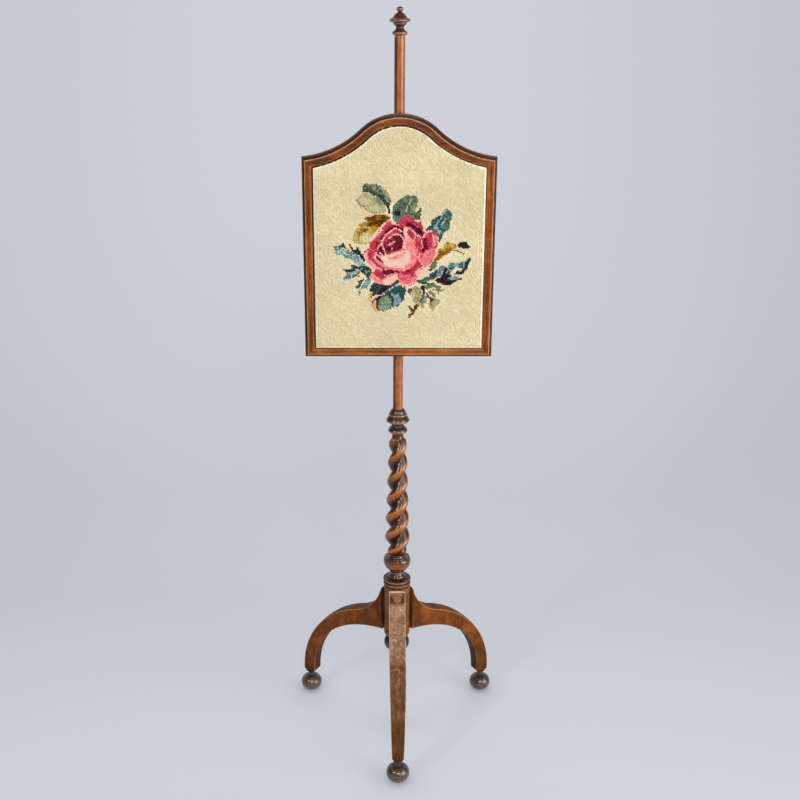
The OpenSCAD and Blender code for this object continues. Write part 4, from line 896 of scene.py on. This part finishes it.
# leaves below on the right
work("lower", """
leaf olive 76 8 81 2 87 3 86 11 79 17 74 17
ink 72 17 77 15 78 19 74 20
teal darkGreen teal 50 38 62 34 70 29 76 33 68 42
darkGreen greyGreen leaf 63 47 76 44 86 45 95 49 93 56 89 64 88 58 82 49 76 52 70 53.5 64 53.5
bottle darkGreen /36 51 38 60 42 70 43.2 81 43
olive greyGreen /20 93.5 56.5 102 54
olive /18 79 54 87 56
olive paleOlive olive 41 52 47 47 54 50 59 59 58 66 54 76 50 82 43 77 41 68
paleOlive tan 41.5 57 45 51 48 62 45 74 42 70
sage olive 48 48 56 54 59 64 54 70 51 60
darkGreen ink 32 57 35 51 41 52 38 63 35 63
darkGreen ink /38 64 58 60 70 56 77.5
sage greyGreen sage 56 80 64 64 70 69 69 77 62 82 62 90 58 87
paleOlive sage paleOlive 70 56 76 55 85 64 84 70 93 75 93 79 84 86 82 94.2 77 91 72 86 71.5 79 82 74
greyGreen leaf 70 57 76 56 84 65 80 69
paleBlue white /18 68 57.5 80 69
deep maroon brown 64 57 69 60 74 67 82 73 76 79 74 72 69 66
olive greyGreen 74 78 79 76 79 86 76 85
deep ink 56 50 62 45 65 53 62 58 58 54
brown darkBrown /44 35.5 86 42 95
brown darkBrown /48 53 83.8 47 85 48 90 44 95 42 99 38 100.5 35.5 105""")
# the rose, from its back petals to its front ones
work("rose", """
crimson 72.5 19.5 83 7.5 110 19 121 34 125 38 133 34 148 43 148 65 145 70 139 93 133 101 108 129 106 134
96 140 85 143 73 127 24 109 17 58 42 30
crimson crimson rose maroon 72 21 83 7.5 95 6 105 16 110 19 116 17 120 29 121 44 118 52 110 42 93 30 83 27
rose crimson 85 9 95 7.2 102 15 96 16 88 13
deep maroon deep 88 21 96 19 104 27 114 30 119 35 120.5 47 115 43 109 40 104 33 96 27.5 89 26
crimson 105 21 109 20 118 23 119.5 33
rose rose crimson 43 25 52 16 60 15 64 22 76 26 74 30 56 30 49 37 44 35
petalEdge /26 42 29 44.5 24 52.5 16.5 60 16 64 22 73 24.5
deep maroon deep 50 36 56 28 64 25 72 25 76 29 83 31 82 35 72 30 48 43 47 38
crimson rose crimson 18 69 18 58 42 34 46 38 43 44 39 56 41 60 30 73 23 70
petalEdge /26 19 56 27 48.5 35 39.5 44 34
maroon crimson 25 56 34 54 38 59 30 69 25 64
deep maroon 35 50 50 39 48 47 39 56""")
# cup of the rose
work("rose", """
crimson rose crimson 43 52 51 40 69 31 85 42 48 60 44 64
deep 76 33 84 33 87 52 84 53 81 46 77 42
petalEdge /24 42 57 44 52 50 42.5 65 31 72 32 80 37
maroon maroon crimson 54 52 62 45 69 42 76 44 81 49 83 56 76 73 52 80 45 64
deep maroon deep 72 45 79 48 83 56 81 66 74 71 69 65 70 60 74 54 72 49
crimson maroon crimson 47 56 56 52 64 50 69 56 60 62 52 68 48 64
deep maroon 56 64 62 65 62 73 56 72
petalEdge /24 54 51 62 44 69 42 76 43 81 48 84 53
petalEdge /26 55 62 60 60 66 56
palePink /30 60 69 61 69
petalEdge /24 41 54 43 64 46 72 50 81
deep maroon 34 71 42.5 64 48 80.5 43 81
deep maroon 29 74 34 73 40 81 38 84
petalEdge /18 42 59 37 64 32 71
petalEdge /18 33 72 37 77 43 81""")
# petals right of the cup
work("rose", """
crimson rose 90 31 96 30 104 38 106 43 100 52 96 49 91 40
petalEdge /20 93 30 100 35 105 40 106 44
lightPink palePink lightPink 83 29 88 27 91 31 90 40 96 48 96 56 85 57 86 50 83 40
pink pink lightPink 88 54 96 49 103 53 107 62 100 101 81 69
palePink lightPink 83 54 88 55 88 69 80 70
rose pink 102.5 56 107 61 111 80 108 91 105 78
crimson crimson rose 104 48 116 46 119 70 117 76 111 80 109 70 106 60
petalEdge /20 103 53 106 47 111 44 116 47 118 55 119 70""")
# right outer petals
work("rose", """
crimson crimson rose 123 42 133 35 140 36 148 43 149 52 148 64 138 69 129 70 120 66 120 56
rose pink rose 138 41 148 45 148.8 62 139 68 137 56
petalEdge /24 140 44 141 52 143.5 62
deep maroon deep 120.5 56 123 48 127 50 131 69 122 74
petalEdge /20 120.8 48 124 41 131 36 139 35.6
pink pink rose 113 80 120 74 130 71 145 68 146 80 139 93 133 97 123 100 118 99 113 93
rose crimson 115 91 124 77 131 71 122 75 115 82
deep 118 70 122 69 123 74 119 79
petalEdge /22 145.2 69 145.5 80 139 92.5
petalEdge /20 114.2 79 111.2 86 113 93 119 100""")
# bottom right and bottom middle petals
work("rose", """
lightPink palePink pink 105 114 113 108 120 101 131 96 133 101 130 110 125 119 108 129
palePink blush 118 110 130 102 129 111 124 119 115 126 109 129 112 120
rose crimson 105 111 121 100 115 99 108 105
pink pink rose 73.5 119 77 115 82 118 102 113 108 116 107 130 104 135 85 143 76 139 74 129
rose crimson 78 115 86 111 96 108 105 104 106 110 101 118 83 118
maroon crimson maroon 80 114 96 109 111 94 113 99 106 106 96 113.5
rose crimson 96 119 103 114 102 125 98 126
lightPink palePink 75 138 85 142.5 96 139.5 106 132.5 86 139 78 134""")
# bottom left petal
work("rose", """
pink pink lightPink 19 120 23 114 29 111.5 42 111 73 115 73.5 127 66 133 57 139 44 138 33 135 24 129
palePink blush lightPink 43 132 52 125 71 118 71.5 126 64 132.5 55 139 44 138
crimson crimson rose 23 115 30 111.5 43 111.5 45 118 49 123.5 40 129 32 122 26 119
deep maroon deep 42 112 54 110 69 112.5 65 116 50 120 45 118
crimson maroon 69 111 76 113 74 119 70 116""")
# left outer petal
work("rose", """
pink lightPink pink 6 80 15 72 19 69 24 71 31 76 34 80 25 88 33 102 52 109.5 33 109.5 24 109
crimson crimson rose 14 81 18 71 24 72 31 78 25 90 27 97 16 88
petalEdge /34 8 80 10.5 90 16.5 101 24.5 108.5""")
# front petal
work("rose", """
pink pink lightPink 25 87 28 82 32 79 40 83 52 80 70 74.5 83 69 96 74 109 80 109 92 101 103 92 109 83 113
70 111.5 56 108.5 46 107 30 95
blush blush palePink 40 87 42 83 54 82.5 64 80 79 74 90 73 96 79 96 90 90 100 82 107 56 105 46 99 42 93
blush palePink blush 70 90 85 85 94 80 94.5 90 88 98 76 101
lightPink pink palePink 52 87 64 84.5 86 74 89 76.5 79 86 68 90.5 56 90.8
pink lightPink 64 105.5 69 100 71 105.5
maroon deep crimson 30 85 34 84 40 90 45 94 43 96 32 90
crimson maroon /26 25.5 90 29 98 34.5 103.5 47 108.5
petalEdge /20 27 88 30 82 33.5 81""")

# where a panel point falls on the plan, which was drawn looking down at the screen
plan = dict(eye=1449.0, away=2116.0, cos=0.95025, sin=0.31151, focal=1111.1, middle=400)


def planOf(x, zz):
    lift, away = zz - plan["eye"], plan["away"]
    scale = plan["focal"] / (plan["cos"] * away - plan["sin"] * lift)
    u = plan["middle"] + scale * (x - view["aside"] / mm) - 2 * plan["middle"] * view["shift"]
    return u, plan["middle"] - scale * (plan["cos"] * lift + plan["sin"] * away)


def inside(poly, u, v):
    hit = np.zeros(u.shape, bool)
    for (x0, y0), (x1, y1) in zip(np.roll(poly, 1, axis=0), poly):
        if y0 != y1:
            hit ^= ((y0 > v) != (y1 > v)) & (u < (x1 - x0) * (v - y0) / (y1 - y0) + x0)
    return hit


def nearLine(path, u, v, width):
    best = np.full(u.shape, 1e9)
    for (ax, ay), (bx, by) in zip(path[:-1], path[1:]):
        dx, dy = bx - ax, by - ay
        f = np.clip(((u - ax) * dx + (v - ay) * dy) / (dx * dx + dy * dy + 1e-9), 0, 1)
        best = np.minimum(best, np.hypot(u - ax - f * dx, v - ay - f * dy))
    return best < width / 2


# stray, varies and wander are how unevenly the worker stitched
stitch = dict(coarse=4.2, lean=46.0, edgeRoom=1.5, stray=0.16, start=1.0, block=4, blocky=0.62,
              leanVaries=0.1, lengthVaries=0.04, widthVaries=0.08, liftVaries=0.16, wander=0.08)
ground = dict(height=0.56, reach=1.6, fullness=0.34, tintVaries=0.06, fade=0.02)
motif = dict(height=0.36, reach=1.56, fullness=0.6, tintVaries=0.05)
coarse, fine = stitch["coarse"], stitch["coarse"] / 2
nx = int(panel["halfW"] * 2 / fine) // 2 * 2
nz = int((panel["crownZ"] + panel["crownR"] - panel["low"]) / fine) // 2 * 2
cx = (np.arange(nx) - (nx - 1) / 2) * fine
cz = panel["low"] + stitch["start"] + (np.arange(nz) + 0.5) * fine
fineX, fineZ = np.meshgrid(cx, cz)
u, v = planOf(fineX, fineZ)
u = u + rng.normal(0, stitch["stray"], u.shape)
v = v + rng.normal(0, stitch["stray"], v.shape)
block = stitch["block"]
patch = np.kron(rng.random((nz // block + 1, nx // block + 1)), np.ones((block, block)))[:nz, :nx]
picks = stitch["blocky"] * patch + (1 - stitch["blocky"]) * rng.random(fineX.shape)
colourOf = np.zeros(fineX.shape, int)
for tones, width, shape in fills:
    hit = nearLine(shape, u, v, width) if width else inside(shape, u, v)
    colourOf[hit] = np.array(tones)[np.minimum((picks[hit] * len(tones)).astype(int), len(tones) - 1)]


# four fine stitches stand in the place of one coarse one
def byFours(grid):
    return grid.reshape(nz // 2, 2, nx // 2, 2)


cellWorked = byFours(colourOf > 0).any(axis=(1, 3))


def dyeWith(ob, colours):
    dye = ob.data.attributes.new("dye", "FLOAT_COLOR", "POINT")
    dye.data.foreach_set("color", np.hstack([colours, np.ones((len(colours), 1))]).astype(np.float32).ravel())


def spotsOf(ob):
    spots = np.zeros(len(ob.data.vertices) * 3)
    ob.data.vertices.foreach_get("co", spots)
    return spots.reshape(-1, 3)[:, [0, 2]]


# one slanting grain of wool for each stitch, and a flat map on which each stitch keeps its own spot
def stitchMesh(name, x, zz, size, s, tint):
    n = len(x)
    lean = math.radians(stitch["lean"]) + rng.normal(0, stitch["leanVaries"], n)
    length = size * (s["reach"] + rng.normal(0, stitch["lengthVaries"], n))
    half = size * s["fullness"] * (1 + rng.normal(0, stitch["widthVaries"], n))
    lift = s["height"] * (1 + rng.normal(0, stitch["liftVaries"], n))
    x = x + rng.normal(0, size * stitch["wander"], n)
    zz = zz + rng.normal(0, size * stitch["wander"], n)
    dx, dz = np.cos(lean), -np.sin(lean)
    grain = [(-0.5, 0, -0.3), (-0.31, -1, 0.35), (-0.31, 0, 0.9), (-0.31, 1, 0.35), (0.31, -1, 0.35),
             (0.31, 0, 1.0), (0.31, 1, 0.35), (0.5, 0, -0.3)]  # along, across, up
    pts = np.zeros((n, len(grain), 3))
    for k, (along, aside, up) in enumerate(grain):
        qx = x + dx * along * length - dz * aside * half
        qz = zz + dz * along * length + dx * aside * half
        pts[:, k] = np.stack([qx, clothY(qx, qz) - up * lift, qz], -1)
    tris = np.array([(0, 2, 1), (0, 3, 2), (7, 4, 5), (7, 5, 6), (1, 2, 5), (1, 5, 4), (2, 3, 6), (2, 6, 5),
                     (0, 1, 4), (0, 4, 7), (0, 7, 6), (0, 6, 3)])
    faces = (tris[None, :, :] + len(grain) * np.arange(n)[:, None, None]).reshape(-1, 3)
    ob = addPiece(name, pts.reshape(-1, 3), faces, "screen", ["needlework"], sharp=180)
    dyeWith(ob, np.repeat(tint, len(grain), axis=0))
    spots = spotsOf(ob)
    corner = np.zeros(len(ob.data.loops), int)
    ob.data.loops.foreach_get("vertex_index", corner)
    low, high = spots.min(0), spots.max(0)
    layer = ob.data.uv_layers.new(name="OFBake", do_init=False)
    flat = 0.01 + 0.98 * (spots - low) / (high - low)
    layer.uv.foreach_set("vector", flat[corner].astype(np.float32).ravel())
    return ob


# the canvas takes the colour worked over it, dimmed as a painted shade between the stitches, and stays bare
# along its rolled edge, with a painted shadow along it on the left
palette = np.array([tone(*thread[k])[:3] for k in names])
vx, vz = (spotsOf(canvas) / mm).T
row = np.clip(np.rint((vz - cz[0]) / fine).astype(int), 0, nz - 1)
column = np.clip(np.rint((vx - cx[0]) / fine).astype(int), 0, nx - 1)
inFrom = edgeDistance(vx, vz)
bare = 1 - easeIn(inFrom, *panel["bareTo"])[:, None]
edgeShadow = ((1 - easeIn(inFrom, *panel["shadowTo"])) * (1 - easeIn(vx, *panel["shadowSide"])))[:, None]
bareAndShadowTone = np.array(tone(*panel["paintedShade"])[:3]) * edgeShadow + np.array(tone(*panel["bare"])[:3]) * (1 - edgeShadow)
dyeWith(canvas, palette[colourOf[row, column]] * panel["shadeUnderWool"] * (1 - bare) + bareAndShadowTone * bare)

coarseX, coarseZ = byFours(fineX).mean(axis=(1, 3)), byFours(fineZ).mean(axis=(1, 3))
useCoarse = (~cellWorked) & (edgeDistance(coarseX, coarseZ) > stitch["edgeRoom"])
gx, gz = coarseX[useCoarse], coarseZ[useCoarse]
age = rng.normal(0, ground["tintVaries"], len(gx))
age += ground["fade"] * (np.sin(gx / 23.0) + np.sin(gz / 19.0 + 1))
groundStitches = stitchMesh("groundStitches", gx, gz, coarse, ground, palette[0] * (1 + age)[:, None])
useFine = np.repeat(np.repeat(cellWorked, 2, 0), 2, 1) & (edgeDistance(fineX, fineZ) > stitch["edgeRoom"])
age = rng.normal(0, motif["tintVaries"], useFine.sum())
tint = palette[colourOf[useFine]] * (1 + age)[:, None]
motifStitches = stitchMesh("motifStitches", fineX[useFine], fineZ[useFine], fine, motif, tint)
print("stitches:", len(gx), "coarse,", len(tint), "fine")


def woolFinish(name, s):
    mat, nt, shader = newMaterial(name)
    spot = node(nt, "ShaderNodeTexCoord").outputs["Object"]
    dye = node(nt, "ShaderNodeAttribute", attribute_name="dye").outputs["Color"]
    fuzz = noiseOf(nt, spot, s["fuzzScale"], 3, 0.6)
    age = noiseOf(nt, spot, s["ageScale"], 3, 0.5)
    colour = mixColour(nt, 1.0, dye, ramp(nt, fuzz, [(0.25, s["fuzzLow"]), (0.7, 1)]), "MULTIPLY")
    colour = mixColour(nt, 1.0, colour, ramp(nt, age, [(0.3, s["ageTone"]), (0.6, 1)]), "MULTIPLY")
    feed(nt, shader, {"Base Color": colour, "Roughness": s["rough"], "Specular IOR Level": s["shine"],
                      "Normal": bumpOf(nt, fuzz, 0.3, 0.0003)})
    return mat


woolSettings = dict(fuzzScale=1600, fuzzLow=0.82, ageScale=14, ageTone=(0.93, 0.92, 0.88, 1.0), rough=0.9,
                    shine=0.05)
wool = woolFinish("stitching wool", woolSettings)
polish(groundStitches, wool)
polish(motifStitches, wool)
polish(canvas, woolFinish("canvas cloth", dict(woolSettings, fuzzScale=900)))
print("panel worked")


def metalFinish(name, s):
    mat, nt, shader = newMaterial(name)
    place = node(nt, "ShaderNodeTexCoord").outputs["Object"]
    cloud = noiseOf(nt, place, s["cloudScale"], 4, 0.6, 0.4)
    spot = noiseOf(nt, place, s["spotScale"], 3, 0.6)
    steps = ((0.32, "dull"), (0.5, "mid"), (0.68, "bright"))
    colour = ramp(nt, cloud, [(at, tone(*s[key])) for at, key in steps])
    colour = mixColour(nt, ramp(nt, spot, [(0.6, 0), (0.72, s["spotDepth"])]), colour, tone(*s["spot"]))
    feed(nt, shader, {"Base Color": colour, "Metallic": s["metal"],
                      "Roughness": rangeOf(nt, cloud, s["roughLow"], s["roughHigh"]),
                      "Normal": bumpOf(nt, spot, s["bump"], 0.0002)})
    return mat


# fittings and hidden wood keep their own shapes and get their finishes
brassSettings = dict(cloudScale=60, spotScale=420, dull=(128, 96, 48), mid=(176, 138, 70),
                     bright=(206, 170, 98), spot=(74, 54, 30), spotDepth=0.7, metal=1.0, roughLow=0.26,
                     roughHigh=0.46, bump=0.1)
brass = metalFinish("aged brass", brassSettings)
iron = metalFinish("blued iron", dict(
    brassSettings, dull=(52, 50, 50), mid=(84, 82, 82), bright=(122, 120, 118), spot=(86, 52, 34),
    spotScale=700, roughLow=0.34, roughHigh=0.56, bump=0.2))
pine = dict(
    walnut, streakScale=70, mottle=0.15, lines=0.5, dark=(136, 96, 54), mid=(176, 134, 84),
    light=(204, 166, 116), fleck=0.1, fleckTone=(214, 178, 130), pore=(104, 68, 36), poreDepth=0.35,
    roughLow=0.6, roughHigh=0.75, shine=0.2, coat=0.0, bump=0.2)
pineUpright = woodFinish("pine upright", pine)
pineAcross = woodFinish("pine across", pine, grainTurn=across)
boardWood = woodFinish("pine board", pine, dark=(112, 76, 42), mid=(150, 108, 66), light=(178, 136, 90))
pegWood = woodFinish("peg walnut", walnut, dark=(60, 28, 12), mid=(98, 52, 22), light=(136, 80, 38))
finishOf = dict(
    upper_bracket=brass, lower_bracket=brass, slide_bush=brass, thumbscrew=brass, bracket_screws=brass,
    panel_screws=brass, canvas_tacks=iron, strainer_top=pineAcross, strainer_bottom=pineAcross,
    strainer_left=pineUpright, strainer_right=pineUpright, backboard=boardWood, frame_pegs=pegWood)
for name, mat in finishOf.items():
    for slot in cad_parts[name].material_slots:
        slot.material = mat
print("fittings finished:", len(finishOf))
